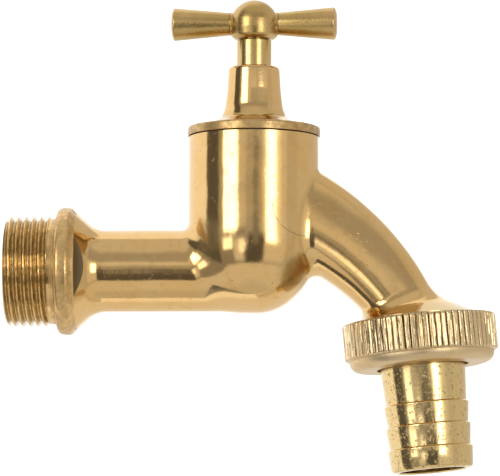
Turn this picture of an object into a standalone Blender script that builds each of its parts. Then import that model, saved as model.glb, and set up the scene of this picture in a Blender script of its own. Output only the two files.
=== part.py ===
"""Brass hose bib (garden tap): T-handle, rising spindle, swept spout and a union nut with hose tail.

The frame: the origin is the centre of the inlet collar's seating shoulder, +X runs from the
inlet to the spout, +Z runs up the spindle, and the XZ plane is the mid plane. The constants
are in millimetres and meshes are made in metres.
"""

import math

import bmesh
import bpy
import numpy as np
from mathutils import Matrix, Vector

MM = 0.001
GAP = 0.3

# Inlet: G 3/4 parallel pipe thread, collar and pipe, along X
INLET_END_X = -12.2
INLET_CREST_R = 13.22
INLET_ROOT_R = 12.06
INLET_PITCH = 1.814
INLET_LEAD = 0.7
INLET_PHASE = -0.72
THREAD_RUNOUT_X = -1.7
RUNOUT_R = 12.7
COLLAR_R = 15.2
COLLAR_EDGE_R = 1.4
COLLAR_FLAT_END_X = 2.64
CONE_START_X = 4.45
CONE_START_R = 14.0
CONE_SLOPE = 0.908
CONE_FILLET_R = 1.5
WRENCH_FLAT_Y = 11.6
WRENCH_FLAT_START_X = 4.9
WRENCH_FLAT_END_X = 12.0
PIPE_R = 9.78
PIPE_END_X = 47.6
INLET_BORE_R = 6.5
INLET_MOUTH_R = 8.2
INLET_MOUTH_DEPTH = 5.0

# Barrel: vertical turned chamber with a bowl-shaped bottom
BARREL_X = 46.8
BARREL_R = 15.57
BARREL_TOP_Z = 32.0
BOWL_CENTRE_Z = 9.5
BOWL_HEIGHT = 19.1
BOWL_SQUARENESS = 2.3
PIPE_FILLET_R = 1.7
PIPE_SIDE_FILLET_R = 3.0
SPOUT_FILLET_TOP_R = 1.0
SPOUT_FILLET_LOW_R = 2.6

# Chambers inside the barrel, and the seat between them
LOWER_CHAMBER_R = 10.5
LOWER_CHAMBER_TOP_Z = 7.2
SEAT_FLOOR_Z = 9.6
SEAT_LIP_Z = 10.4
SEAT_LIP_R = 8.2
SEAT_HOLE_R = 6.5
UPPER_CHAMBER_R = 11.8
BONNET_BORE_R = 13.3
BONNET_BORE_Z = 20.7

# Spout: a tapering tube along an arc in the XZ plane, with flattened sides
SPOUT_ARC_X = 31.0
SPOUT_ARC_Z = -41.32
SPOUT_ARC_R = 60.88
SPOUT_R_AT_60 = 10.92
SPOUT_R_PER_DEG = 0.1035
SPOUT_HALF_WIDTH_AT_60 = 9.0
SPOUT_HALF_WIDTH_PER_DEG = 0.025
SPOUT_SIDE_LEAN = 0.16
SPOUT_SQUARENESS_TOP = 2.8
SPOUT_SQUARENESS_LOW = 2.2
SPOUT_START_DEG = 64.0
SPOUT_BORE_START_DEG = 61.5
SPOUT_BORE_R = 5.4
SPOUT_BORE_RISE = 3.4

# Outlet: its own frame, origin on the union nut's top plane, +Z back up the outlet's axis
OUTLET_X = 86.2
OUTLET_Z = -11.9
OUTLET_TILT_DEG = 5.4
FLARE_R = 14.8
FLARE_OFF_AXIS = -0.3
FLARE_EDGE_H = 0.45
FLARE_SLOPE = 0.50
FLARE_FILLET_R = 2.4
STUB_TOP_H = 0.2
STUB_THREAD_TOP_H = -0.3
STUB_NECK_R = 13.9
STUB_END_H = -4.7
STUB_CREST_R = 16.4
STUB_ROOT_R = 15.1
STUB_PITCH = 2.309
OUTLET_BORE_R = 7.2

# Union nut, gasket and hose tail, in the outlet's frame
NUT_R = 18.3
NUT_BORE_R = 16.75
NUT_KNURL_LOW_H = -8.7
NUT_END_H = -11.35
NUT_BOSS_R = 17.3
NUT_LIP_H = -9.4
NUT_HOLE_R = 10.95
KNURL_COUNT = 78
KNURL_DEPTH = 0.45
KNURL_BEVEL = 0.7
UNION_GASKET_TOP_H = -4.9
UNION_GASKET_END_H = -6.9
UNION_GASKET_R = 15.6
TAIL_COLLAR_TOP_H = -7.1
TAIL_COLLAR_END_H = -9.1
TAIL_COLLAR_R = 16.0
TAIL_R = 10.12
TAIL_ROOT_R = 9.55
TAIL_BARB_H = (-20.4, -25.6, -31.0)
TAIL_END_H = -36.15
TAIL_BORE_R = 8.05

# Bonnet and its gasket
GASKET_LOW_Z = 32.05
GASKET_TOP_Z = 32.25
BONNET_FLANGE_Z = 32.3
BONNET_FLANGE_TOP_Z = 34.6
BONNET_FLANGE_R = 15.84
BONNET_SKIRT_R = 13.0
BONNET_END_Z = 21.0
BONNET_TOP_Z = 49.1
BONNET_THREAD_BORE_R = 6.35
BONNET_THREAD_TOP_Z = 35.6
BONNET_NECK_BORE_R = 4.45

# Spindle, with its O-ring grooves
SPINDLE_R = 4.13
SPINDLE_THREAD_R = 6.0
SPINDLE_THREAD_ROOT_R = 5.1
SPINDLE_PITCH = 2.0
SPINDLE_END_Z = 17.5
SPINDLE_THREAD_TOP_Z = 29.5
SPINDLE_SHOULDER_Z = 55.5
SPINDLE_TIP_R = 3.1
SPINDLE_TIP_Z = 61.0
SPINDLE_SOCKET_R = 2.95
SPINDLE_SOCKET_TOP_Z = 23.2
GROOVE_ROOT_R = 2.9
GROOVE_HALF = 0.8
O_RING_Z = (37.6, 41.2)
O_RING_CENTRE_R = 3.68
O_RING_SECTION_R = 0.55

# Valve disc holder, washer, screw and retaining ring
JUMPER_R = 9.0
JUMPER_CUP_R = 8.3
JUMPER_CUP_Z = 11.7
JUMPER_DISC_Z = 13.2
JUMPER_DISC_TOP_Z = 15.2
JUMPER_BOSS_R = 4.6
JUMPER_BOSS_TOP_Z = 17.2
JUMPER_STEM_R = 2.5
JUMPER_STEM_TOP_Z = 22.6
CLIP_Z = 19.6
CLIP_CENTRE_R = 2.4
CLIP_SECTION_R = 0.32
WASHER_LOW_Z = 10.7
WASHER_TOP_Z = 12.9
WASHER_R = 8.0
SCREW_HEAD_R = 3.6
SCREW_HEAD_Z = 9.0
SCREW_SHANK_R = 1.6
SCREW_TOP_Z = 17.0

# T-handle
HUB_Z = 59.6
HUB_R = 5.76
HUB_WALL_R = 5.71
HUB_CORNER_R = 1.3
HUB_FLAT_Z = 55.85
HUB_BOSS_R = 2.78
HUB_BORE_R = 3.4
HUB_BORE_TOP_Z = 61.4
ARM_FACE_X = 5.84
ARM_GAP = 0.06
ARM_START_R = 2.75
ARM_END_R = 3.95
ARM_END_X = 20.0
ARM_SPIGOT_R = 1.9
GRUB_R = 1.5
GRUB_Z = 59.6
GRUB_START_Y = 3.45
GRUB_END_Y = 5.6

# The casting's faceting
SKIN_SPACING = 3.0
SKIN_RELAXATIONS = 3

BRASS = (0.72, 0.50, 0.19)
RUBBER = (0.02, 0.02, 0.022)
FIBRE = (0.24, 0.10, 0.05)
STEEL = (0.55, 0.55, 0.56)

BARREL_AXIS = Matrix.Translation(Vector((BARREL_X, 0, 0)) * MM)
INLET_AXIS = Matrix.Rotation(math.pi / 2, 4, "Y")
OUTLET_AXIS = Matrix.Translation(Vector((OUTLET_X, 0, OUTLET_Z)) * MM) @ Matrix.Rotation(
    math.radians(-OUTLET_TILT_DEG), 4, "Y"
)


def clear_scene():
    for obj in list(bpy.data.objects):
        bpy.data.objects.remove(obj, do_unlink=True)


def plain_material(name, colour, roughness, metallic):
    material = bpy.data.materials.new(name)
    material.use_nodes = True
    shader = material.node_tree.nodes["Principled BSDF"]
    shader.inputs["Base Color"].default_value = (*colour, 1)
    shader.inputs["Roughness"].default_value = roughness
    shader.inputs["Metallic"].default_value = metallic
    material.diffuse_color = (*colour, 1)
    return material


def new_object(name, verts, faces, matrix=None):
    """An object whose mesh holds these millimetre points, placed by a matrix in metres."""
    mesh = bpy.data.meshes.new(name)
    mesh.from_pydata([Vector(v) * MM for v in verts], [], faces)
    mesh.validate()
    work = bmesh.new()
    work.from_mesh(mesh)
    bmesh.ops.recalc_face_normals(work, faces=work.faces)
    work.to_mesh(mesh)
    work.free()
    obj = bpy.data.objects.new(name, mesh)
    bpy.context.scene.collection.objects.link(obj)
    obj.matrix_world = matrix or Matrix.Identity(4)
    bpy.context.view_layer.update()
    return obj


def finish(obj, colour=BRASS, roughness=0.25, metallic=1.0, angle=35):
    obj.data.materials.clear()
    obj.data.materials.append(plain_material(obj.name, colour, roughness, metallic))
    obj.data.shade_smooth()
    obj.data.set_sharp_from_angle(angle=math.radians(angle))
    return obj


def triangulate(mesh):
    """Triangles only, with no slivers, so that an exact Boolean leaves its result closed."""
    work = bmesh.new()
    work.from_mesh(mesh)
    bmesh.ops.remove_doubles(work, verts=work.verts, dist=0.002 * MM)
    bmesh.ops.dissolve_degenerate(work, dist=0.002 * MM, edges=work.edges)
    bmesh.ops.triangulate(work, faces=work.faces)
    work.to_mesh(mesh)
    work.free()


def combine(obj, tool, operation):
    """Applies an exact Boolean to obj and removes the tool."""
    triangulate(obj.data)
    triangulate(tool.data)
    modifier = obj.modifiers.new("combine", "BOOLEAN")
    modifier.object = tool
    modifier.operation = operation
    modifier.solver = "EXACT"
    graph = bpy.context.evaluated_depsgraph_get()
    mesh = bpy.data.meshes.new_from_object(obj.evaluated_get(graph))
    obj.modifiers.clear()
    obj.data = mesh
    bpy.data.objects.remove(tool, do_unlink=True)


def cut(obj, tool):
    combine(obj, tool, "DIFFERENCE")


def join(obj, tool):
    combine(obj, tool, "UNION")


def rounded(corners, steps=4):
    """A profile from (r, h) or (r, h, radius) corners, the ones with a radius rounded off."""
    points = []
    for i, corner in enumerate(corners):
        if len(corner) == 2:
            points.append(corner)
            continue
        here = Vector(corner[:2])
        before = (Vector(corners[i - 1][:2]) - here).normalized()
        after = (Vector(corners[(i + 1) % len(corners)][:2]) - here).normalized()
        half = before.angle(after) / 2
        reach = corner[2] / math.tan(half)
        centre = here + (before + after).normalized() * corner[2] / math.sin(half)
        start = here + before * reach - centre
        sweep = start.angle_signed(here + after * reach - centre)
        for k in range(steps + 1):
            turned = Matrix.Rotation(-sweep * k / steps, 2) @ start
            points.append(tuple(centre + turned))
    return points


def lathe(name, profile, segments=32, matrix=None):
    """A closed (r, h) profile turned about local Z. Points on the axis become one vertex."""
    verts, rings = [], []
    for r, h in profile:
        if r < 1e-6:
            rings.append([len(verts)] * segments)
            verts.append((0, 0, h))
            continue
        rings.append(list(range(len(verts), len(verts) + segments)))
        for j in range(segments):
            angle = 2 * math.pi * j / segments
            verts.append((r * math.cos(angle), r * math.sin(angle), h))
    faces = []
    for low, high in zip(rings, rings[1:] + rings[:1]):
        for j in range(segments):
            k = (j + 1) % segments
            loop = list(dict.fromkeys((low[j], low[k], high[k], high[j])))
            if len(loop) > 2:
                faces.append(loop)
    return new_object(name, verts, faces, matrix)


def cylinder(name, radius, low, high, segments=32, matrix=None):
    profile = [(0, low), (radius, low), (radius, high), (0, high)]
    return lathe(name, profile, segments, matrix)


def box(name, low, high, matrix=None):
    corners = [(x, y, z) for x in (low[0], high[0]) for y in (low[1], high[1]) for z in (low[2], high[2])]
    faces = [(0, 1, 3, 2), (4, 6, 7, 5), (0, 4, 5, 1), (2, 3, 7, 6), (0, 2, 6, 4), (1, 5, 7, 3)]
    return new_object(name, corners, faces, matrix)


def threaded_rod(name, crest, root, pitch, low, turns, segments, matrix=None):
    """A right-hand helical thread about local Z, longer than needed: its ends get cut off."""
    form = ((-0.11, crest), (0.11, crest), (0.39, root), (0.61, root))
    verts = []
    for step in range(turns * segments + 1):
        angle = 2 * math.pi * step / segments
        for share, r in form:
            h = low + pitch * (step / segments + share)
            verts.append((r * math.cos(angle), r * math.sin(angle), h))
    m = len(form)
    last = turns * segments
    faces = []
    for step in range(last):
        for i in range(m - 1):
            a = step * m + i
            faces.append((a, a + m, a + m + 1, a + 1))
        if step + segments <= last:
            a = step * m + m - 1
            b = (step + segments) * m
            if step < last - segments:
                faces.append((a, a + m, b + m, b))
    foot = len(verts)
    verts.append((0, 0, low - 0.5 * pitch))
    verts.append((0, 0, low + pitch * (turns + 1.1)))
    rim = [step * m for step in range(segments + 1)] + list(range(m - 1, 0, -1))
    top = [(last - segments + step) * m + m - 1 for step in range(segments + 1)]
    top += [last * m + i for i in range(m - 2, -1, -1)]
    for loop, tip in ((rim, foot), (top, foot + 1)):
        for a, b in zip(loop, loop[1:] + loop[:1]):
            faces.append((a, b, tip))
    return new_object(name, verts, faces, matrix)


def trimmed_thread(name, crest, root, pitch, low, high, lead, segments, matrix, neck=(), phase=0):
    """A thread between two planes, chamfered at its low end. A neck narrows it past its high end."""
    reach = max([high] + [h for _, h in neck])
    turns = math.ceil((reach - low) / pitch) + 2
    start = low - 1.4 * pitch + phase
    rod = threaded_rod(name, crest, root, pitch, start, turns, segments, matrix)
    outer = crest + 0.3
    profile = [(0, low), (crest - lead, low), (outer, low + lead + 0.3), (outer, high), *neck, (0, reach)]
    combine(rod, lathe(name + "_envelope", profile, segments, matrix), "INTERSECT")
    return rod


def round_union(a, b, radius):
    """The union of two distance fields with a fillet of this radius between them."""
    inner = np.hypot(np.maximum(radius - a, 0), np.maximum(radius - b, 0))
    return np.maximum(radius, np.minimum(a, b)) - inner


def round_intersection(a, b, radius):
    outer = np.hypot(np.maximum(radius + a, 0), np.maximum(radius + b, 0))
    return np.minimum(-radius, np.maximum(a, b)) + outer


def oval(u, v, a, b, power):
    """The distance to a rounded oval with half-axes a and b, near its edge."""
    u, v = np.abs(u) + 1e-9, np.abs(v) + 1e-9
    size = ((u / a) ** power + (v / b) ** power) ** (1 / power)
    steepness = np.hypot((u / a) ** (power - 1) / a, (v / b) ** (power - 1) / b) * size ** (1 - power)
    return (size - 1) / steepness


def pipe_field(x, y, z):
    """Inlet cone and pipe, ending in a half ball inside the bowl."""
    beyond = np.maximum(x - PIPE_END_X, 0)
    pipe = np.sqrt(beyond**2 + y**2 + z**2) - PIPE_R
    r = np.hypot(y, z)
    slope = math.hypot(1, CONE_SLOPE)
    cone = (r - CONE_START_R + (x - CONE_START_X) * CONE_SLOPE) / slope
    cone = np.maximum(cone, r - CONE_START_R)
    return round_union(pipe, cone, CONE_FILLET_R)


def barrel_field(x, y, z):
    r = np.hypot(x - BARREL_X, y)
    drop = np.minimum(z - BOWL_CENTRE_Z, 0)
    power = BOWL_SQUARENESS
    scaled = ((r / BARREL_R) ** power + (-drop / BOWL_HEIGHT) ** power + 1e-9) ** (1 / power)
    return (scaled - 1) * BARREL_R


def spout_field(x, y, z):
    dx, dz = x - SPOUT_ARC_X, z - SPOUT_ARC_Z
    angle = np.degrees(np.arctan2(dz, dx))
    turn = 60 - np.clip(angle, 20, SPOUT_START_DEG)
    radius = SPOUT_R_AT_60 - turn * SPOUT_R_PER_DEG
    out = np.hypot(dx, dz) - SPOUT_ARC_R
    half_width = SPOUT_HALF_WIDTH_AT_60 - turn * SPOUT_HALF_WIDTH_PER_DEG
    half_width = half_width * (1 - SPOUT_SIDE_LEAN * np.clip(out / radius, -1.2, 1.2))
    squareness = np.where(out > 0, SPOUT_SQUARENESS_TOP, SPOUT_SQUARENESS_LOW)
    tube = oval(out, y, radius, half_width, squareness)
    start = (angle - SPOUT_START_DEG) * math.pi / 180 * SPOUT_ARC_R
    return np.maximum(tube, start)


def flare_field(x, y, z):
    """The shallow cone that the spout ends in, about the outlet's axis."""
    tilt = math.radians(OUTLET_TILT_DEG)
    dx, dz = x - OUTLET_X, z - OUTLET_Z
    across = dx * math.cos(tilt) + dz * math.sin(tilt) - FLARE_OFF_AXIS
    h = dz * math.cos(tilt) - dx * math.sin(tilt)
    r = np.hypot(across, y)
    top = (h - FLARE_EDGE_H - (FLARE_R - r) * FLARE_SLOPE) / math.hypot(1, FLARE_SLOPE)
    return round_intersection(top, r - FLARE_R - 2, 0.5)


def body_field(x, y, z):
    """The distance in millimetres to the casting's outside, closed past its turned ends."""
    share = np.clip((z + 2) / 22, 0, 1)
    fillet = SPOUT_FILLET_LOW_R + (SPOUT_FILLET_TOP_R - SPOUT_FILLET_LOW_R) * share
    spout = round_union(spout_field(x, y, z), flare_field(x, y, z), FLARE_FILLET_R)
    side = np.clip(np.abs(y) / PIPE_R, 0, 1)
    pipe_fillet = PIPE_FILLET_R + (PIPE_SIDE_FILLET_R - PIPE_FILLET_R) * side**2
    chamber = round_union(barrel_field(x, y, z), pipe_field(x, y, z), pipe_fillet)
    tilt = math.radians(OUTLET_TILT_DEG)
    below = (x - OUTLET_X) * math.sin(tilt) - (z - OUTLET_Z) * math.cos(tilt) - 3
    ends = np.maximum(np.maximum(1 - x, z - BARREL_TOP_Z - 3), below)
    return np.maximum(round_union(chamber, spout, fillet), ends)


def field_gradient(points, step=0.01):
    parts = []
    for axis in range(3):
        offset = np.zeros(3)
        offset[axis] = step
        ahead = body_field(*(points + offset).T)
        parts.append((ahead - body_field(*(points - offset).T)) / (2 * step))
    return np.stack(parts, axis=1)


def onto_surface(points, rounds=4):
    for _ in range(rounds):
        slope = field_gradient(points)
        value = body_field(*points.T)
        points = points - slope * (value / np.maximum((slope**2).sum(axis=1), 1e-6))[:, None]
    return points


def skin_cells(low, cells, spacing):
    """Surface nets: one vertex for each grid cell that the surface passes, and its quads."""
    axes = [low[i] + spacing * np.arange(cells[i] + 1) for i in range(3)]
    inside = body_field(*np.meshgrid(*axes, indexing="ij")) < 0
    count = np.zeros(cells, dtype=int)
    for a in (0, 1):
        for b in (0, 1):
            for c in (0, 1):
                count += inside[a : a + cells[0], b : b + cells[1], c : c + cells[2]]
    crossed = (count > 0) & (count < 8)
    index = np.full(cells, -1)
    index[crossed] = np.arange(crossed.sum())
    points = np.array(low) + (np.argwhere(crossed) + 0.5) * spacing
    quads = []
    for axis in range(3):
        near = np.moveaxis(inside, axis, 0)
        table = np.moveaxis(index, axis, 0)
        i, j, k = np.argwhere(near[:-1, 1:-1, 1:-1] != near[1:, 1:-1, 1:-1]).T
        loop = (table[i, j, k], table[i, j + 1, k], table[i, j + 1, k + 1], table[i, j, k + 1])
        quads.append(np.stack(loop, axis=1))
    return points, np.concatenate(quads)


def body_skin(spacing):
    """The casting's outside, reaching past the planes where its turned ends are cut."""
    low = (-0.97, -21.03, -26.04)
    high = (108, 21, 37)
    cells = [math.ceil((high[i] - low[i]) / spacing) for i in range(3)]
    points, quads = skin_cells(low, cells, spacing)
    points = onto_surface(points)
    sides = np.concatenate([quads[:, [i, (i + 1) % 4]] for i in range(4)])
    for _ in range(SKIN_RELAXATIONS):
        total = np.zeros_like(points)
        number = np.zeros(len(points))
        for a, b in ((0, 1), (1, 0)):
            np.add.at(total, sides[:, a], points[sides[:, b]])
            np.add.at(number, sides[:, a], 1)
        points = onto_surface(0.4 * points + 0.6 * total / number[:, None])
    return new_object("valve_body", points, quads.tolist())


def inlet_collar():
    """The collar's rim, with rounded edges, lapping over the cast cone."""
    edge = COLLAR_EDGE_R
    profile = rounded([
        (8.5, 0),
        (COLLAR_R, 0, edge),
        (COLLAR_R, COLLAR_FLAT_END_X + 0.58, edge),
        (CONE_START_R - 0.2, CONE_START_X + 0.1),
        (8.5, CONE_START_X + 0.1),
    ], 3)
    return lathe("collar", profile, 40, INLET_AXIS)


def inlet_runout():
    return cylinder("runout", RUNOUT_R, THREAD_RUNOUT_X - 0.2, 1.5, 36, INLET_AXIS)


def inlet_thread():
    return trimmed_thread(
        "inlet_thread", INLET_CREST_R, INLET_ROOT_R, INLET_PITCH,
        INLET_END_X, THREAD_RUNOUT_X, INLET_LEAD, 30, INLET_AXIS, phase=INLET_PHASE,
    )


def outlet_thread():
    """The stub under the flare, chamfered at its low end and relieved at its high end."""
    neck = [(STUB_NECK_R, STUB_THREAD_TOP_H), (STUB_NECK_R, STUB_TOP_H + 0.3)]
    return trimmed_thread(
        "outlet_thread", STUB_CREST_R, STUB_ROOT_R, STUB_PITCH,
        STUB_END_H, STUB_THREAD_TOP_H, 0.5, 32, OUTLET_AXIS, neck,
    )


def make_body():
    body = body_skin(SKIN_SPACING)
    top = BARREL_TOP_Z
    cut(body, box("above", (20, -22, top), (70, 22, top + 9)))
    cut(body, box("left", (-9, -22, -22), (2, 22, 22)))
    cut(body, box("below", (-60, -24, -14), (30, 24, STUB_TOP_H), OUTLET_AXIS))
    ring = [(FLARE_R, -3), (26, -3), (26, 2.3), (FLARE_R, 2.3)]
    off_axis = OUTLET_AXIS @ Matrix.Translation(Vector((FLARE_OFF_AXIS, 0, 0)) * MM)
    cut(body, lathe("flare_edge", ring, 48, off_axis))
    join(body, inlet_collar())
    for near, far in ((-20, -WRENCH_FLAT_Y), (WRENCH_FLAT_Y, 20)):
        low, high = (WRENCH_FLAT_START_X, near, -16), (WRENCH_FLAT_END_X, far, 16)
        cut(body, box("wrench_flat", low, high))
    join(body, inlet_runout())
    join(body, inlet_thread())
    join(body, outlet_thread())
    for core in passages():
        cut(body, core)
    return finish(body, roughness=0.22, angle=28)


def passages():
    """The casting's cores: inlet bore, both chambers, the seat's hole and the spout's bore."""
    bore_end = BARREL_X
    yield lathe("inlet_core", [
        (0, INLET_END_X - 2),
        (INLET_MOUTH_R, INLET_END_X - 2),
        (INLET_MOUTH_R, INLET_END_X + INLET_MOUTH_DEPTH),
        (INLET_BORE_R, INLET_END_X + INLET_MOUTH_DEPTH + 2),
        (INLET_BORE_R, bore_end),
        (0, bore_end),
    ], 24, INLET_AXIS)
    yield lathe("lower_core", [
        (0, -6.7),
        (4.0, -6.5),
        (7.2, -4.3),
        (9.5, -1.2),
        (LOWER_CHAMBER_R, 2),
        (LOWER_CHAMBER_R, LOWER_CHAMBER_TOP_Z),
        (SEAT_HOLE_R, LOWER_CHAMBER_TOP_Z),
        (SEAT_HOLE_R, SEAT_LIP_Z + 1),
        (0, SEAT_LIP_Z + 1),
    ], 24, BARREL_AXIS)
    yield lathe("upper_core", [
        (0, SEAT_LIP_Z),
        (SEAT_LIP_R - 0.5, SEAT_LIP_Z),
        (SEAT_LIP_R, SEAT_FLOOR_Z),
        (UPPER_CHAMBER_R, SEAT_FLOOR_Z),
        (UPPER_CHAMBER_R, BONNET_BORE_Z - 1.5),
        (BONNET_BORE_R, BONNET_BORE_Z),
        (BONNET_BORE_R, BARREL_TOP_Z + 2),
        (0, BARREL_TOP_Z + 2),
    ], 32, BARREL_AXIS)
    yield spout_core()


def spout_core():
    """The spout's bore. It starts high in the barrel, above the seat, and ends on the outlet's axis."""
    stations = []
    for k in range(9):
        share = k / 8
        angle = math.radians(SPOUT_BORE_START_DEG - share * (SPOUT_BORE_START_DEG - 33))
        rise = SPOUT_BORE_RISE * (1 - share)
        x = SPOUT_ARC_X + SPOUT_ARC_R * math.cos(angle)
        z = SPOUT_ARC_Z + SPOUT_ARC_R * math.sin(angle) + rise
        radius = SPOUT_BORE_R + 0.6 * share
        stations.append((x, z, angle, radius))
    tilt = math.radians(OUTLET_TILT_DEG)
    stations.append((OUTLET_X + 3 * -math.sin(tilt) - 0.6, OUTLET_Z + 1.5, tilt, OUTLET_BORE_R))
    stations.append((OUTLET_X + 8 * math.sin(tilt), OUTLET_Z - 8, tilt, OUTLET_BORE_R))
    verts, faces = [], []
    segments = 20
    for x, z, angle, radius in stations:
        for j in range(segments):
            turn = 2 * math.pi * j / segments
            out = radius * math.cos(turn)
            verts.append((x + out * math.cos(angle), radius * math.sin(turn), z + out * math.sin(angle)))
    for k in range(len(stations) - 1):
        for j in range(segments):
            a, b = k * segments + j, k * segments + (j + 1) % segments
            faces.append((a, b, b + segments, a + segments))
    faces.append(tuple(range(segments)))
    faces.append(tuple(range(len(verts) - segments, len(verts))))
    return new_object("spout_core", verts, faces)


def make_bonnet_gasket():
    ring = [
        (BONNET_SKIRT_R + GAP, GASKET_LOW_Z),
        (BARREL_R - 0.35, GASKET_LOW_Z),
        (BARREL_R - 0.35, GASKET_TOP_Z),
        (BONNET_SKIRT_R + GAP, GASKET_TOP_Z),
    ]
    finish(lathe("bonnet_gasket", ring, 40, BARREL_AXIS), FIBRE, 0.8, 0)


def make_bonnet():
    """The headwork's housing: skirt, flange, flared foot and tapering neck, bored for the spindle."""
    profile = rounded([
        (BONNET_SKIRT_R - 0.8, BONNET_END_Z),
        (BONNET_SKIRT_R, BONNET_END_Z + 0.8),
        (BONNET_SKIRT_R, BONNET_FLANGE_Z),
        (BONNET_FLANGE_R, BONNET_FLANGE_Z),
        (BONNET_FLANGE_R, BONNET_FLANGE_TOP_Z - 0.2, 0.5),
        (11.2, BONNET_FLANGE_TOP_Z + 0.55),
        (9.2, 35.7),
        (8.1, 36.8),
        (7.4, 37.8),
        (7.0, 39.2),
        (6.65, 41.2),
        (6.4, 43.8),
        (6.1, BONNET_TOP_Z, 0.9),
        (BONNET_NECK_BORE_R + 0.4, BONNET_TOP_Z),
        (BONNET_NECK_BORE_R, BONNET_TOP_Z - 0.4),
        (BONNET_NECK_BORE_R, BONNET_THREAD_TOP_Z),
        (BONNET_THREAD_BORE_R, BONNET_THREAD_TOP_Z),
        (BONNET_THREAD_BORE_R, BONNET_END_Z),
    ], 3)
    finish(lathe("bonnet", profile, 36, BARREL_AXIS), roughness=0.2)


def make_spindle():
    """A rising spindle: threaded foot with the disc holder's socket, shank, O-ring grooves and tip."""
    shank = [(0, SPINDLE_THREAD_TOP_Z - 1), (SPINDLE_R, SPINDLE_THREAD_TOP_Z - 1)]
    for z in O_RING_Z:
        shank += [
            (SPINDLE_R, z - GROOVE_HALF),
            (GROOVE_ROOT_R, z - GROOVE_HALF),
            (GROOVE_ROOT_R, z + GROOVE_HALF),
            (SPINDLE_R, z + GROOVE_HALF),
        ]
    shank += [
        (SPINDLE_R, SPINDLE_SHOULDER_Z),
        (SPINDLE_TIP_R, SPINDLE_SHOULDER_Z),
        (SPINDLE_TIP_R, SPINDLE_TIP_Z - 0.5),
        (SPINDLE_TIP_R - 0.5, SPINDLE_TIP_Z),
        (0, SPINDLE_TIP_Z),
    ]
    spindle = trimmed_thread(
        "spindle", SPINDLE_THREAD_R, SPINDLE_THREAD_ROOT_R, SPINDLE_PITCH,
        SPINDLE_END_Z, SPINDLE_THREAD_TOP_Z, 0.8, 16, BARREL_AXIS,
    )
    join(spindle, lathe("shank", shank, 24, BARREL_AXIS))
    low, high = SPINDLE_END_Z - 1, SPINDLE_SOCKET_TOP_Z
    cut(spindle, cylinder("socket", SPINDLE_SOCKET_R, low, high, 16, BARREL_AXIS))
    finish(spindle, roughness=0.18)


def ring_profile(centre_r, centre_z, section_r, steps=6):
    turns = [2 * math.pi * k / steps for k in range(steps)]
    return [(centre_r + section_r * math.cos(t), centre_z + section_r * math.sin(t)) for t in turns]


def make_o_rings():
    for name, z in zip(("spindle_o_ring_lower", "spindle_o_ring_upper"), O_RING_Z):
        profile = ring_profile(O_RING_CENTRE_R, z, O_RING_SECTION_R)
        finish(lathe(name, profile, 20, BARREL_AXIS), RUBBER, 0.55, 0)


def make_jumper():
    """The valve disc holder: a cup for the washer, a boss under the spindle and a grooved stem."""
    groove = CLIP_SECTION_R + 0.15
    profile = [
        (SCREW_SHANK_R + GAP, JUMPER_DISC_Z),
        (JUMPER_CUP_R, JUMPER_DISC_Z),
        (JUMPER_CUP_R, JUMPER_CUP_Z),
        (JUMPER_R, JUMPER_CUP_Z),
        (JUMPER_R, JUMPER_DISC_TOP_Z - 0.5),
        (JUMPER_R - 0.5, JUMPER_DISC_TOP_Z),
        (JUMPER_BOSS_R, JUMPER_DISC_TOP_Z),
        (JUMPER_BOSS_R, JUMPER_BOSS_TOP_Z),
        (JUMPER_STEM_R, JUMPER_BOSS_TOP_Z),
        (JUMPER_STEM_R, CLIP_Z - groove),
        (CLIP_CENTRE_R - CLIP_SECTION_R - 0.1, CLIP_Z - groove),
        (CLIP_CENTRE_R - CLIP_SECTION_R - 0.1, CLIP_Z + groove),
        (JUMPER_STEM_R, CLIP_Z + groove),
        (JUMPER_STEM_R, JUMPER_STEM_TOP_Z - 0.4),
        (JUMPER_STEM_R - 0.4, JUMPER_STEM_TOP_Z),
        (0, JUMPER_STEM_TOP_Z),
        (0, SCREW_TOP_Z + GAP),
        (SCREW_SHANK_R + GAP, SCREW_TOP_Z + GAP),
    ]
    finish(lathe("valve_disc_holder", profile, 24, BARREL_AXIS), roughness=0.3)


def make_clip():
    """The snap ring that keeps the disc holder in the spindle, open over a quarter of its turn."""
    clip = lathe("disc_holder_clip", ring_profile(CLIP_CENTRE_R, CLIP_Z, CLIP_SECTION_R), 20, BARREL_AXIS)
    cut(clip, box("clip_gap", (0.9, -1.1, CLIP_Z - 1), (4, 1.1, CLIP_Z + 1), BARREL_AXIS))
    finish(clip, STEEL, 0.3, 1)


def make_washer():
    inner = SCREW_SHANK_R + GAP
    profile = [
        (inner, WASHER_LOW_Z),
        (WASHER_R - 0.3, WASHER_LOW_Z),
        (WASHER_R, WASHER_LOW_Z + 0.3),
        (WASHER_R, WASHER_TOP_Z),
        (inner, WASHER_TOP_Z),
    ]
    finish(lathe("seat_washer", profile, 32, BARREL_AXIS), RUBBER, 0.6, 0)


def make_washer_screw():
    profile = [
        (0, SCREW_HEAD_Z),
        (SCREW_HEAD_R - 0.9, SCREW_HEAD_Z),
        (SCREW_HEAD_R, SCREW_HEAD_Z + 0.8),
        (SCREW_HEAD_R, WASHER_LOW_Z - GAP),
        (SCREW_SHANK_R, WASHER_LOW_Z - GAP),
        (SCREW_SHANK_R, SCREW_TOP_Z - 0.4),
        (SCREW_SHANK_R - 0.4, SCREW_TOP_Z),
        (0, SCREW_TOP_Z),
    ]
    screw = lathe("seat_washer_screw", profile, 24, BARREL_AXIS)
    cut(screw, box("slot", (-5, -0.45, SCREW_HEAD_Z - 1), (5, 0.45, SCREW_HEAD_Z + 0.7), BARREL_AXIS))
    finish(screw, roughness=0.3)


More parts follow.
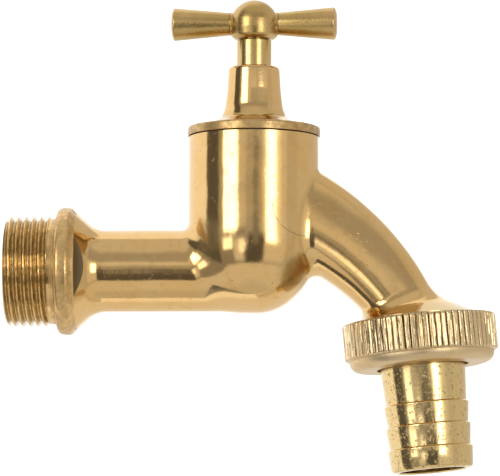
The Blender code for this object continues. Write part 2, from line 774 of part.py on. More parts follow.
def make_hub():
    """The handle's domed hub, bored for the spindle's tip, both arms and the grub screw."""
    steps = 9
    start = math.asin(HUB_WALL_R / HUB_R)
    arc = [start * (1 - k / steps) for k in range(steps)]
    corner = [(HUB_BORE_R, HUB_FLAT_Z), (HUB_WALL_R, HUB_FLAT_Z, HUB_CORNER_R), (HUB_WALL_R, HUB_Z)]
    profile = rounded(corner)[:-1]
    profile += [(HUB_R * math.sin(a), HUB_Z + HUB_R * math.cos(a)) for a in arc]
    profile += [(0, HUB_Z + HUB_R), (0, HUB_BORE_TOP_Z), (HUB_BORE_R, HUB_BORE_TOP_Z)]
    hub = lathe("handle_hub", profile, 28, BARREL_AXIS)
    centre = BARREL_AXIS @ Matrix.Translation((0, 0, HUB_Z * MM))
    for turn in (0, math.pi):
        out = centre @ Matrix.Rotation(turn, 4, "Z") @ Matrix.Rotation(math.pi / 2, 4, "Y")
        join(hub, cylinder("boss", HUB_BOSS_R, HUB_BORE_R + 0.5, ARM_FACE_X, 20, out))
        cut(hub, cylinder("face", HUB_BOSS_R + 0.05, ARM_FACE_X, HUB_R + 1, 20, out))
        cut(hub, cylinder("arm_hole", ARM_SPIGOT_R + GAP, HUB_BORE_R - 1, HUB_R + 1, 14, out))
    back = centre @ Matrix.Rotation(-math.pi / 2, 4, "X")
    cut(hub, cylinder("grub_hole", GRUB_R + GAP, 2, HUB_R + 1, 14, back))
    finish(hub, roughness=0.25)


def make_arms():
    """Two tapering arms with domed ends. Each has a spigot that goes into the hub."""
    profile = rounded([
        (0, HUB_BORE_R + 0.4),
        (ARM_SPIGOT_R, HUB_BORE_R + 0.4),
        (ARM_SPIGOT_R, ARM_FACE_X + ARM_GAP),
        (ARM_START_R, ARM_FACE_X + ARM_GAP, 0.2),
        (ARM_END_R, ARM_END_X - 0.75, 0.5),
        (ARM_END_R * 0.55, ARM_END_X - 0.18),
        (0, ARM_END_X),
    ], 2)
    centre = BARREL_AXIS @ Matrix.Translation((0, 0, HUB_Z * MM))
    for name, turn in (("handle_arm_right", 0), ("handle_arm_left", math.pi)):
        out = centre @ Matrix.Rotation(turn, 4, "Z") @ Matrix.Rotation(math.pi / 2, 4, "Y")
        finish(lathe(name, profile, 24, out), roughness=0.3)


def make_grub_screw():
    back = BARREL_AXIS @ Matrix.Translation((0, 0, GRUB_Z * MM)) @ Matrix.Rotation(-math.pi / 2, 4, "X")
    screw = cylinder("handle_grub_screw", GRUB_R, GRUB_START_Y, GRUB_END_Y, 18, back)
    cut(screw, cylinder("hex_socket", 0.75, GRUB_END_Y - 1.2, GRUB_END_Y + 1, 6, back))
    finish(screw, STEEL, 0.3, 1)


def knurled_disc(name, matrix):
    """A solid disc with V grooves along its rim. They run out at both ends in a bevel."""
    count = 2 * KNURL_COUNT
    rim = [NUT_R - KNURL_DEPTH * (j % 2) for j in range(count)]
    bevel = NUT_R - KNURL_DEPTH - 0.15
    rings = [
        (0, [bevel] * count),
        (-KNURL_BEVEL, rim),
        (NUT_KNURL_LOW_H + KNURL_BEVEL, rim),
        (NUT_KNURL_LOW_H, [bevel] * count),
    ]
    verts, faces = [], []
    for h, radii in rings:
        for j, r in enumerate(radii):
            angle = 2 * math.pi * j / count
            verts.append((r * math.cos(angle), r * math.sin(angle), h))
    for row in range(len(rings) - 1):
        for j in range(count):
            a = row * count + j
            b = row * count + (j + 1) % count
            faces.append((a, b, b + count, a + count))
    faces.append(tuple(range(count)))
    faces.append(tuple(range(len(verts) - count, len(verts))))
    return new_object(name, verts, faces, matrix)


def make_union_nut():
    """A ring nut with a straight knurl, a rounded boss below it and a lip under the tail's collar."""
    nut = knurled_disc("union_nut", OUTLET_AXIS)
    boss = rounded([
        (0, NUT_KNURL_LOW_H + 1),
        (NUT_BOSS_R, NUT_KNURL_LOW_H + 1),
        (NUT_BOSS_R, NUT_END_H, 1.7),
        (0, NUT_END_H),
    ])
    join(nut, lathe("boss", boss, 40, OUTLET_AXIS))
    hollow = [
        (0, 1),
        (NUT_BORE_R, 1),
        (NUT_BORE_R, NUT_LIP_H),
        (NUT_HOLE_R, NUT_LIP_H),
        (NUT_HOLE_R, NUT_END_H - 1),
        (0, NUT_END_H - 1),
    ]
    cut(nut, lathe("hollow", hollow, 40, OUTLET_AXIS))
    finish(nut, roughness=0.3, angle=25)


def make_union_gasket():
    ring = [
        (TAIL_BORE_R + 0.5, UNION_GASKET_END_H),
        (UNION_GASKET_R, UNION_GASKET_END_H),
        (UNION_GASKET_R, UNION_GASKET_TOP_H),
        (TAIL_BORE_R + 0.5, UNION_GASKET_TOP_H),
    ]
    finish(lathe("union_gasket", ring, 36, OUTLET_AXIS), RUBBER, 0.6, 0)


def make_hose_tail():
    """Collar under the nut's lip, then a tube with three sawtooth barbs."""
    profile = [
        (TAIL_BORE_R, TAIL_COLLAR_TOP_H),
        (TAIL_COLLAR_R, TAIL_COLLAR_TOP_H),
        (TAIL_COLLAR_R, TAIL_COLLAR_END_H),
        (TAIL_R + 0.5, TAIL_COLLAR_END_H),
        (TAIL_R, TAIL_COLLAR_END_H - 0.5),
        (TAIL_R, NUT_END_H - 1.5),
    ]
    for h in TAIL_BARB_H:
        profile += [(TAIL_ROOT_R + 0.1, h + 0.35), (TAIL_R - 0.1, h + 0.1), (TAIL_R, h - 0.25)]
    profile += [(TAIL_ROOT_R + 0.25, TAIL_END_H + 0.8), (TAIL_ROOT_R - 0.4, TAIL_END_H)]
    profile += [(TAIL_BORE_R + 0.3, TAIL_END_H), (TAIL_BORE_R, TAIL_END_H + 0.3)]
    finish(lathe("hose_tail", profile, 36, OUTLET_AXIS), roughness=0.18, angle=20)


clear_scene()
make_body()
make_bonnet_gasket()
make_bonnet()
make_spindle()
make_o_rings()
make_jumper()
make_clip()
make_washer()
make_washer_screw()
make_hub()
make_arms()
make_grub_screw()
make_union_nut()
make_union_gasket()
make_hose_tail()
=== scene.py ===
"""Looks of the brass hose bib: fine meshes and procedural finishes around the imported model."""

import math

import bmesh
import bpy
import numpy as np
from mathutils import Matrix, Vector


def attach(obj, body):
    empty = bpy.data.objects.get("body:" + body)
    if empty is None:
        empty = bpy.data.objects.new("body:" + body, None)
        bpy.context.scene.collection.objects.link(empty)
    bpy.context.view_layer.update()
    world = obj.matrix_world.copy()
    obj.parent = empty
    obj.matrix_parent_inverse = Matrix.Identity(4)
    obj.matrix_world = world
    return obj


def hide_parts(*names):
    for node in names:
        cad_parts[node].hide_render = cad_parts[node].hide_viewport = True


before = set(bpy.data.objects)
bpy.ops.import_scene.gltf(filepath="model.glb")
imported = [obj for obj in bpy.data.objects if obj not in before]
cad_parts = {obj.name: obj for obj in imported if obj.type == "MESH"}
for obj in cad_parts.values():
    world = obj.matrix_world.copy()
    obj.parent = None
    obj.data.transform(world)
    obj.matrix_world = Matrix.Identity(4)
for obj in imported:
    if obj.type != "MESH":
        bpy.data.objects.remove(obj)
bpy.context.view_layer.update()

MM = 0.001
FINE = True

# The camera, a little below the tap and to its right (millimetres and degrees)
CAMERA_TARGET = (46.0, 0.0, 8.0)
CAMERA_YAW = 4.06
CAMERA_ELEVATION = -6.53
CAMERA_ROLL = 0.227
CAMERA_DISTANCE = 1205.8
CAMERA_NUDGE = (-0.05, -0.11)
CAMERA_LENS = 363.1
FLOOR_Z = -300.0
FLOOR_SIZE = 60000.0
BACKDROP_LEVEL = 1.22

# Casting: the same dimensions as the CAD model's
COLLAR_R = 15.2
COLLAR_EDGE_R = 1.4
COLLAR_FLAT_END_X = 2.64
CONE_START_X = 4.45
CONE_START_R = 14.0
CONE_SLOPE = 0.908
CONE_FILLET_R = 1.5
WRENCH_FLAT_Y = 11.6
WRENCH_FLAT_START_X = 4.9
WRENCH_FLAT_END_X = 12.0
PIPE_R = 9.78
PIPE_END_X = 47.6
PIPE_FILLET_R = 1.7
PIPE_SIDE_FILLET_R = 3.0
BARREL_X = 46.8
BARREL_R = 15.57
BARREL_TOP_Z = 32.0
BOWL_CENTRE_Z = 9.5
BOWL_HEIGHT = 19.1
BOWL_SQUARENESS = 2.3
SPOUT_FILLET_TOP_R = 1.0
SPOUT_FILLET_LOW_R = 2.6
SPOUT_ARC_X = 31.0
SPOUT_ARC_Z = -41.32
SPOUT_ARC_R = 60.88
SPOUT_R_AT_60 = 10.92
SPOUT_R_PER_DEG = 0.1035
SPOUT_HALF_WIDTH_AT_60 = 9.0
SPOUT_HALF_WIDTH_PER_DEG = 0.025
SPOUT_SIDE_LEAN = 0.16
SPOUT_SQUARENESS_TOP = 2.8
SPOUT_SQUARENESS_LOW = 2.2
SPOUT_START_DEG = 64.0
OUTLET_X = 86.2
OUTLET_Z = -11.9
OUTLET_TILT = 5.4
FLARE_R = 14.8
FLARE_OFF_AXIS = -0.3
FLARE_EDGE_H = 0.45
FLARE_SLOPE = 0.50
FLARE_FILLET_R = 2.4
STUB_TOP_H = 0.2
STUB_NECK_R = 13.9
STUB_NECK_TOP_H = 0.5
OUTLET_BORE_R = 7.2
SKIN_SPACING = 0.42 if FINE else 0.9
WOBBLE = 0.022

# Threads: low end, high end, crest, root, pitch, lead chamfer
INLET_THREAD = (-12.2, -1.7, 13.22, 12.06, 1.814, 0.7)
INLET_PHASE = -0.72
OUTLET_THREAD = (-4.7, -0.3, 16.4, 15.1, 2.309, 0.5)
RUNOUT_R = 12.7

# Bonnet, spindle and handle: heights are above the inlet's axis
BONNET_SPIGOT_R = 13.0
BONNET_FLANGE_R = 15.84
BONNET_LOW_Z = 21.0
BONNET_FLANGE_Z = 32.3
BONNET_TOP_Z = 49.1
BONNET_BORE_R = 4.45
GASKET_R = 15.22
GASKET_LOW_Z = 32.05
GASKET_TOP_Z = 32.25
SPINDLE_THREAD = (17.5, 29.5, 6.0, 5.1, 2.0, 0.8)
SPINDLE_R = 4.13
SPINDLE_TIP_R = 3.1
SPINDLE_SHOULDER_Z = 55.5
SPINDLE_TOP_Z = 61.0
O_RING_GROOVE_Z = (37.6, 41.2)
HUB_Z = 59.6
HUB_R = 5.74
HUB_WALL_R = 5.70
HUB_BORE_R = 3.4
ARM_FACE_X = 5.84
ARM_BOSS_R = 2.76
ARM_END_X = 20.0

# Union nut and hose tail: heights are along the outlet's axis
NUT_R = 18.3
NUT_BORE_R = 16.75
NUT_HOLE_R = 10.95
NUT_BOSS_R = 17.3
NUT_LIP_H = -9.4
NUT_KNURL_LOW_H = -8.7
NUT_END_H = -11.35
NUT_GROOVES = 78
NUT_GROOVE_DEPTH = 0.5
COLUMNS_PER_GROOVE = 12
TAIL_R = 10.12
TAIL_BORE_R = 8.05
TAIL_COLLAR_R = 16.0
TAIL_COLLAR_TOP_H = -7.1
TAIL_COLLAR_END_H = -9.1
TAIL_BARB_H = (-20.4, -25.6, -31.0)
TAIL_END_H = -36.15

BARREL_AXIS = Matrix.Translation(Vector((BARREL_X, 0, 0)) * MM)
INLET_AXIS = Matrix.Rotation(math.pi / 2, 4, "Y")
OUTLET_AXIS = Matrix.Translation(Vector((OUTLET_X, 0, OUTLET_Z)) * MM) @ Matrix.Rotation(
    math.radians(-OUTLET_TILT), 4, "Y"
)
HUB_AXIS = BARREL_AXIS @ Matrix.Translation((0, 0, HUB_Z * MM))
RIGHT_ARM_AXIS = HUB_AXIS @ Matrix.Rotation(math.pi / 2, 4, "Y")
LEFT_ARM_AXIS = HUB_AXIS @ Matrix.Rotation(math.pi, 4, "Z") @ Matrix.Rotation(math.pi / 2, 4, "Y")
REAR_AXIS = HUB_AXIS @ Matrix.Rotation(-math.pi / 2, 4, "X")

# Metal and other colours, scene linear
BRASS = (0.74, 0.475, 0.19)
BRASS_PALE = (0.77, 0.54, 0.26)
BRASS_DEEP = (0.62, 0.36, 0.115)
TAIL_BRASS = (0.72, 0.535, 0.24)
SATIN_BRASS = (0.53, 0.355, 0.125)
SPINDLE_BRASS = (0.58, 0.40, 0.14)
NUT_BRASS = (0.72, 0.55, 0.32)
TARNISH = (0.20, 0.115, 0.045)
# Greyer, darker brass painted as shade in hollows
BRASS_HOLLOW_SHADE = (0.62, 0.44, 0.19)
# Dark colour for dirt, and for painted shade in grooves, creases and dark reflections
DIRT_AND_SHADE_COLOUR = (0.085, 0.060, 0.022)

# Places on the casting: the notch under the spout and the pipe's joint, where darker patches of shade are
# painted, and a thin dark curved line painted on the barrel
NOTCH_CENTRE = (56.8, -8.0, -1.0)
JOINT_SHADE_CENTRE = (37.8, -11.0, 7.3)
DARK_ARC_CENTRE = (59.6, 14.5)
DARK_ARC_RADIUS = 7.3


# ---------------------------------------------------------------- meshes


def new_mesh_object(name, verts, faces, matrix=None):
    """An object from millimetre points, moved by a matrix and then kept in world coordinates."""
    mesh = bpy.data.meshes.new(name)
    points = np.asarray(verts, float) * MM
    if matrix is not None:
        turn = np.array(matrix)
        points = points @ turn[:3, :3].T + turn[:3, 3]
    mesh.from_pydata(points.tolist(), [], faces)
    work = bmesh.new()
    work.from_mesh(mesh)
    bmesh.ops.recalc_face_normals(work, faces=work.faces)
    work.to_mesh(mesh)
    work.free()
    obj = bpy.data.objects.new(name, mesh)
    bpy.context.scene.collection.objects.link(obj)
    return obj


def place(obj, body, nodes, material, angle=40):
    """Smooth shading, the finish, and the body and nodes that a piece belongs to."""
    obj.data.shade_smooth()
    obj.data.set_sharp_from_angle(angle=math.radians(angle))
    obj.data.materials.clear()
    obj.data.materials.append(material)
    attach(obj, body)
    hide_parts(*nodes)
    return obj


def combine(obj, tool, operation):
    """A fast Boolean on two closed meshes. The tool is removed."""
    modifier = obj.modifiers.new("combine", "BOOLEAN")
    modifier.object = tool
    modifier.operation = operation
    modifier.solver = "MANIFOLD"
    graph = bpy.context.evaluated_depsgraph_get()
    mesh = bpy.data.meshes.new_from_object(obj.evaluated_get(graph))
    obj.modifiers.clear()
    obj.data = mesh
    bpy.data.objects.remove(tool, do_unlink=True)


def cut(obj, tool):
    combine(obj, tool, "DIFFERENCE")


def join(obj, tool):
    combine(obj, tool, "UNION")


def rounded(corners, steps=6):
    """A profile from (r, h) or (r, h, radius) corners, the ones with a radius rounded off."""
    points = []
    for i, corner in enumerate(corners):
        if len(corner) == 2:
            points.append(corner)
            continue
        here = Vector(corner[:2])
        before = (Vector(corners[i - 1][:2]) - here).normalized()
        after = (Vector(corners[(i + 1) % len(corners)][:2]) - here).normalized()
        half = before.angle(after) / 2
        reach = corner[2] / math.tan(half)
        centre = here + (before + after).normalized() * corner[2] / math.sin(half)
        start = here + before * reach - centre
        sweep = start.angle_signed(here + after * reach - centre)
        for k in range(steps + 1):
            turned = Matrix.Rotation(-sweep * k / steps, 2) @ start
            points.append(tuple(centre + turned))
    return points


def turned(name, profile, segments, matrix, shape=None):
    """A closed (r, h) profile turned about local Z. shape(r, h, angle) may change the radius."""
    angles = 2 * np.pi * np.arange(segments) / segments
    verts, rings = [], []
    for r, h in profile:
        if r < 1e-6:
            rings.append([len(verts)] * segments)
            verts.append((0, 0, h))
            continue
        rings.append(list(range(len(verts), len(verts) + segments)))
        radii = np.full(segments, float(r)) if shape is None else shape(r, h, angles)
        verts += np.stack([radii * np.cos(angles), radii * np.sin(angles), np.full(segments, h)], 1).tolist()
    faces = []
    for low, high in zip(rings, rings[1:] + rings[:1]):
        for j in range(segments):
            k = (j + 1) % segments
            loop = list(dict.fromkeys((low[j], low[k], high[k], high[j])))
            if len(loop) > 2:
                faces.append(loop)
    return new_mesh_object(name, verts, faces, matrix)


def cylinder(name, radius, low, high, segments, matrix):
    return turned(name, [(0, low), (radius, low), (radius, high), (0, high)], segments, matrix)


def box(name, low, high, matrix=None):
    corners = [(x, y, z) for x in (low[0], high[0]) for y in (low[1], high[1]) for z in (low[2], high[2])]
    faces = [(0, 1, 3, 2), (4, 6, 7, 5), (0, 4, 5, 1), (2, 3, 7, 6), (0, 2, 6, 4), (1, 5, 7, 3)]
    return new_mesh_object(name, corners, faces, matrix)


def thread_form(crest, root, samples=14):
    """One pitch of a rounded V thread as (share of pitch, radius), from crest to crest."""
    form = []
    for k in range(samples):
        share = k / samples
        height = abs(2 * share - 1)
        slope = min(max((height - 0.1) / 0.8, 0), 1)
        eased = slope - 0.06 * math.sin(2 * math.pi * slope)
        form.append((share - 0.11, root + (crest - root) * eased))
    return form


def nicks(angle, h, depth):
    """Small uneven dents along a thread."""
    wave = np.sin(7 * angle + 1.3 * h) * np.sin(17 * angle + 2.9 * h) + np.sin(31 * angle + 0.7 * h) * 0.4
    return depth * np.clip(wave - 0.2, 0, 1)


def threaded_rod(name, crest, root, pitch, low, turns, segments, matrix, wear):
    """A right-hand helical thread about local Z, longer than needed: its ends get cut off."""
    form = thread_form(crest, root)
    steps = np.arange(turns * segments + 1)
    angles = 2 * np.pi * steps / segments
    rows = []
    for share, r in form:
        h = low + pitch * (steps / segments + share)
        radius = r - nicks(angles, h, wear) * (r - root) / (crest - root)
        rows.append(np.stack([radius * np.cos(angles), radius * np.sin(angles), h], 1))
    verts = np.stack(rows, 1).reshape(-1, 3).tolist()
    m = len(form)
    last = turns * segments
    faces = []
    for step in range(last):
        for i in range(m - 1):
            a = step * m + i
            faces.append((a, a + m, a + m + 1, a + 1))
        if step < last - segments:
            a = step * m + m - 1
            b = (step + segments) * m
            faces.append((a, a + m, b + m, b))
    foot = len(verts)
    verts.append((0, 0, low - 0.5 * pitch))
    verts.append((0, 0, low + pitch * (turns + 1.1)))
    rim = [step * m for step in range(segments + 1)] + list(range(m - 1, 0, -1))
    top = [(last - segments + step) * m + m - 1 for step in range(segments + 1)]
    top += [last * m + i for i in range(m - 2, -1, -1)]
    for loop, tip in ((rim, foot), (top, foot + 1)):
        for a, b in zip(loop, loop[1:] + loop[:1]):
            faces.append((a, b, tip))
    return new_mesh_object(name, verts, faces, matrix)


def trimmed_thread(name, thread, segments, matrix, neck=(), wear=0.12, phase=0):
    """A thread between two planes, chamfered at its low end. A neck narrows it past its high end."""
    low, high, crest, root, pitch, lead = thread
    reach = max([high] + [h for _, h in neck])
    turns = math.ceil((reach - low) / pitch) + 2
    start = low - 1.4 * pitch + phase
    rod = threaded_rod(name, crest, root, pitch, start, turns, segments, matrix, wear)
    outer = crest + 0.3
    profile = [(0, low), (crest - lead, low), (outer, low + lead + 0.3), (outer, high), *neck, (0, reach)]
    combine(rod, turned(name + "_envelope", profile, segments, matrix), "INTERSECT")
    return rod


# ---------------------------------------------------------------- the casting's skin


def round_union(a, b, radius):
    """The union of two distance fields with a fillet of this radius between them."""
    inner = np.hypot(np.maximum(radius - a, 0), np.maximum(radius - b, 0))
    return np.maximum(radius, np.minimum(a, b)) - inner


def round_intersection(a, b, radius):
    outer = np.hypot(np.maximum(radius + a, 0), np.maximum(radius + b, 0))
    return np.minimum(-radius, np.maximum(a, b)) + outer


def oval(u, v, a, b, power):
    """The distance to a rounded oval with half-axes a and b, near its edge."""
    u, v = np.abs(u) + 1e-9, np.abs(v) + 1e-9
    size = ((u / a) ** power + (v / b) ** power) ** (1 / power)
    steepness = np.hypot((u / a) ** (power - 1) / a, (v / b) ** (power - 1) / b) * size ** (1 - power)
    return (size - 1) / steepness


def pipe_field(x, y, z):
    """Inlet cone and pipe, ending in a half ball inside the bowl."""
    beyond = np.maximum(x - PIPE_END_X, 0)
    pipe = np.sqrt(beyond**2 + y**2 + z**2) - PIPE_R
    r = np.hypot(y, z)
    slope = math.hypot(1, CONE_SLOPE)
    cone = (r - CONE_START_R + (x - CONE_START_X) * CONE_SLOPE) / slope
    cone = np.maximum(cone, r - CONE_START_R)
    return round_union(pipe, cone, CONE_FILLET_R)


def barrel_field(x, y, z):
    r = np.hypot(x - BARREL_X, y)
    drop = np.minimum(z - BOWL_CENTRE_Z, 0)
    power = BOWL_SQUARENESS
    scaled = ((r / BARREL_R) ** power + (-drop / BOWL_HEIGHT) ** power + 1e-9) ** (1 / power)
    return (scaled - 1) * BARREL_R


def spout_field(x, y, z):
    dx, dz = x - SPOUT_ARC_X, z - SPOUT_ARC_Z
    angle = np.degrees(np.arctan2(dz, dx))
    turn = 60 - np.clip(angle, 20, SPOUT_START_DEG)
    radius = SPOUT_R_AT_60 - turn * SPOUT_R_PER_DEG
    out = np.hypot(dx, dz) - SPOUT_ARC_R
    half_width = SPOUT_HALF_WIDTH_AT_60 - turn * SPOUT_HALF_WIDTH_PER_DEG
    half_width = half_width * (1 - SPOUT_SIDE_LEAN * np.clip(out / radius, -1.2, 1.2))
    squareness = np.where(out > 0, SPOUT_SQUARENESS_TOP, SPOUT_SQUARENESS_LOW)
    tube = oval(out, y, radius, half_width, squareness)
    start = (angle - SPOUT_START_DEG) * math.pi / 180 * SPOUT_ARC_R
    return np.maximum(tube, start)


def flare_field(x, y, z):
    """The shallow cone that the spout ends in, about the outlet's axis."""
    tilt = math.radians(OUTLET_TILT)
    dx, dz = x - OUTLET_X, z - OUTLET_Z
    across = dx * math.cos(tilt) + dz * math.sin(tilt) - FLARE_OFF_AXIS
    h = dz * math.cos(tilt) - dx * math.sin(tilt)
    r = np.hypot(across, y)
    top = (h - FLARE_EDGE_H - (FLARE_R - r) * FLARE_SLOPE) / math.hypot(1, FLARE_SLOPE)
    return round_intersection(top, r - FLARE_R - 2, 0.5)


def wobble(x, y, z):
    """The slight waviness that hand polishing leaves on the casting."""
    slow = np.sin(0.34 * x + 1.1 * np.sin(0.21 * z)) * np.sin(0.41 * z + 0.27 * y + 0.6)
    fast = np.sin(0.83 * x - 0.52 * z + 0.9) * np.sin(0.61 * z + 0.77 * y)
    return WOBBLE * (slow + 0.12 * fast)


def body_field(x, y, z):
    """The distance in millimetres to the casting's outside, closed past its turned ends."""
    share = np.clip((z + 2) / 22, 0, 1)
    fillet = SPOUT_FILLET_LOW_R + (SPOUT_FILLET_TOP_R - SPOUT_FILLET_LOW_R) * share
    spout = round_union(spout_field(x, y, z), flare_field(x, y, z), FLARE_FILLET_R)
    side = np.clip(np.abs(y) / PIPE_R, 0, 1)
    pipe_fillet = PIPE_FILLET_R + (PIPE_SIDE_FILLET_R - PIPE_FILLET_R) * side**2
    chamber = round_union(barrel_field(x, y, z), pipe_field(x, y, z), pipe_fillet)
    tilt = math.radians(OUTLET_TILT)
    below = (x - OUTLET_X) * math.sin(tilt) - (z - OUTLET_Z) * math.cos(tilt) - 3
    ends = np.maximum(np.maximum(1 - x, z - BARREL_TOP_Z - 3), below)
    return np.maximum(round_union(chamber, spout, fillet) + wobble(x, y, z), ends)


def field_gradient(points, step=0.01):
    parts = []
    for axis in range(3):
        offset = np.zeros(3)
        offset[axis] = step
        ahead = body_field(*(points + offset).T)
        parts.append((ahead - body_field(*(points - offset).T)) / (2 * step))
    return np.stack(parts, axis=1)


def onto_surface(points, rounds=3):
    for _ in range(rounds):
        slope = field_gradient(points)
        value = body_field(*points.T)
        points = points - slope * (value / np.maximum((slope**2).sum(axis=1), 1e-6))[:, None]
    return points


def skin_cells(low, cells, spacing):
    """Surface nets: one vertex for each grid cell that the surface passes, and its quads."""
    axes = [low[i] + spacing * np.arange(cells[i] + 1) for i in range(3)]
    inside = np.stack([body_field(x, *np.meshgrid(axes[1], axes[2], indexing="ij")) < 0 for x in axes[0]])
    count = np.zeros(cells, dtype=int)
    for a in (0, 1):
        for b in (0, 1):
            for c in (0, 1):
                count += inside[a : a + cells[0], b : b + cells[1], c : c + cells[2]]
    crossed = (count > 0) & (count < 8)
    index = np.full(cells, -1)
    index[crossed] = np.arange(crossed.sum())
    points = np.array(low) + (np.argwhere(crossed) + 0.5) * spacing
    quads = []
    for axis in range(3):
        near = np.moveaxis(inside, axis, 0)
        table = np.moveaxis(index, axis, 0)
        i, j, k = np.argwhere(near[:-1, 1:-1, 1:-1] != near[1:, 1:-1, 1:-1]).T
        loop = (table[i, j, k], table[i, j + 1, k], table[i, j + 1, k + 1], table[i, j, k + 1])
        quads.append(np.stack(loop, axis=1))
    return points, np.concatenate(quads)


def body_skin(spacing):
    """The casting's outside, reaching past the planes where its turned ends are cut."""
    low = (-0.97, -21.03, -26.04)
    high = (108, 21, 37)
    cells = [math.ceil((high[i] - low[i]) / spacing) for i in range(3)]
    points, quads = skin_cells(low, cells, spacing)
    points = onto_surface(points)
    sides = np.concatenate([quads[:, [i, (i + 1) % 4]] for i in range(4)])
    for _ in range(3):
        total = np.zeros_like(points)
        number = np.zeros(len(points))
        for a, b in ((0, 1), (1, 0)):
            np.add.at(total, sides[:, a], points[sides[:, b]])
            np.add.at(number, sides[:, a], 1)
        points = onto_surface(0.4 * points + 0.6 * total / number[:, None], 2)
    return new_mesh_object("casting", points, quads.tolist())


def passages():
    """The casting's cores: inlet bore, both chambers, the seat's hole and the spout's bore."""
    yield turned("inlet_core", [
        (0, -14.2), (8.2, -14.2), (8.2, -7.2), (6.5, -5.2), (6.5, BARREL_X), (0, BARREL_X),
    ], 96, INLET_AXIS)
    yield turned("lower_core", [
        (0, -6.7), (4.0, -6.5), (7.2, -4.3), (9.5, -1.2), (10.5, 2), (10.5, 7.2),
        (6.5, 7.2), (6.5, 11.4), (0, 11.4),
    ], 96, BARREL_AXIS)
    yield turned("upper_core", [
        (0, 10.4), (7.7, 10.4), (8.2, 9.6), (11.8, 9.6), (11.8, 19.2), (13.3, 20.7), (13.3, 33.8), (0, 33.8),
    ], 128, BARREL_AXIS)
    yield spout_core()


def spout_core():
    stations = []
    for k in range(25):
        share = k / 24
        angle = math.radians(61.5 - share * 28.5)
        rise = 3.4 * (1 - share)
        x = SPOUT_ARC_X + SPOUT_ARC_R * math.cos(angle)
        z = SPOUT_ARC_Z + SPOUT_ARC_R * math.sin(angle) + rise
        stations.append((x, z, angle, 5.4 + 0.6 * share))
    tilt = math.radians(OUTLET_TILT)
    stations.append((OUTLET_X + 3 * -math.sin(tilt) - 0.6, OUTLET_Z + 1.5, tilt, OUTLET_BORE_R))
    stations.append((OUTLET_X + 8 * math.sin(tilt), OUTLET_Z - 8, tilt, OUTLET_BORE_R))
    verts, faces = [], []
    segments = 64
    for x, z, angle, radius in stations:
        for j in range(segments):
            turn = 2 * math.pi * j / segments
            out = radius * math.cos(turn)
            verts.append((x + out * math.cos(angle), radius * math.sin(turn), z + out * math.sin(angle)))
    for k in range(len(stations) - 1):
        for j in range(segments):
            a, b = k * segments + j, k * segments + (j + 1) % segments
            faces.append((a, b, b + segments, a + segments))
    faces.append(tuple(range(segments)))
    faces.append(tuple(range(len(verts) - segments, len(verts))))
    return new_mesh_object("spout_core", verts, faces)


def make_casting(material):
    """The body: cast skin, turned ends, both threads, wrench flats and the passages inside."""
    body = body_skin(SKIN_SPACING)
    cut(body, box("above", (20, -22, BARREL_TOP_Z), (70, 22, BARREL_TOP_Z + 9)))
    cut(body, box("left", (-9, -22, -22), (2, 22, 22)))
    cut(body, box("below", (-60, -24, -14), (30, 24, STUB_TOP_H), OUTLET_AXIS))
    ring = [(FLARE_R, -3), (26, -3), (26, 2.3), (FLARE_R, 2.3)]
    off_axis = OUTLET_AXIS @ Matrix.Translation(Vector((FLARE_OFF_AXIS, 0, 0)) * MM)
    cut(body, turned("flare_edge", ring, 192, off_axis))
    edge = COLLAR_EDGE_R
    join(body, turned("collar", rounded([
        (8.5, 0),
        (COLLAR_R, 0, edge),
        (COLLAR_R, COLLAR_FLAT_END_X + 0.58, edge),
        (CONE_START_R - 0.2, CONE_START_X + 0.1, 0.1),
        (8.5, CONE_START_X + 0.1),
    ], 8), 192, INLET_AXIS))
    for near, far in ((-20, -WRENCH_FLAT_Y), (WRENCH_FLAT_Y, 20)):
        low, high = (WRENCH_FLAT_START_X, near, -16), (WRENCH_FLAT_END_X, far, 16)
        cut(body, box("wrench_flat", low, high))
    join(body, cylinder("runout", RUNOUT_R, INLET_THREAD[1] - 0.2, 1.5, 160, INLET_AXIS))
    thread = trimmed_thread("inlet_thread", INLET_THREAD, 144, INLET_AXIS, wear=0.05, phase=INLET_PHASE)
    join(body, thread)
    neck = [(STUB_NECK_R, OUTLET_THREAD[1]), (STUB_NECK_R, STUB_NECK_TOP_H)]
    join(body, trimmed_thread("outlet_thread", OUTLET_THREAD, 128, OUTLET_AXIS, neck))
    for core in passages():
        cut(body, core)
    body.name = "body_casting"
    return place(body, "housing", ["valve_body"], material, 34)


# ---------------------------------------------------------------- turned pieces


def make_bonnet(material):
    """The headwork's housing: skirt, flange, flared foot and tapering neck."""
    profile = rounded([
        (BONNET_SPIGOT_R - 0.8, BONNET_LOW_Z),
        (BONNET_SPIGOT_R, BONNET_LOW_Z + 0.8),
        (BONNET_SPIGOT_R, BONNET_FLANGE_Z),
        (BONNET_FLANGE_R, BONNET_FLANGE_Z, 0.15),
        (BONNET_FLANGE_R, BONNET_FLANGE_Z + 2.1, 0.5),
        (11.2, 35.1, 6.0),
        (8.0, 36.6, 2.2),
        (6.95, 39.2, 6.0),
        (6.45, 43.4, 12.0),
        (6.1, BONNET_TOP_Z, 0.9),
        (BONNET_BORE_R + 0.4, BONNET_TOP_Z),
        (BONNET_BORE_R, BONNET_TOP_Z - 0.4),
        (BONNET_BORE_R, 35.6),
        (6.35, 35.6),
        (6.35, BONNET_LOW_Z),
    ], 10)
    place(turned("headwork_bonnet", profile, 192, BARREL_AXIS), "housing", ["bonnet"], material, 34)


def make_bonnet_gasket(material):
    ring = rounded([
        (BONNET_SPIGOT_R + 0.3, GASKET_LOW_Z),
        (GASKET_R, GASKET_LOW_Z, 0.08),
        (GASKET_R, GASKET_TOP_Z, 0.08),
        (BONNET_SPIGOT_R + 0.3, GASKET_TOP_Z),
    ], 4)
    place(turned("fibre_gasket", ring, 160, BARREL_AXIS), "housing", ["bonnet_gasket"], material)


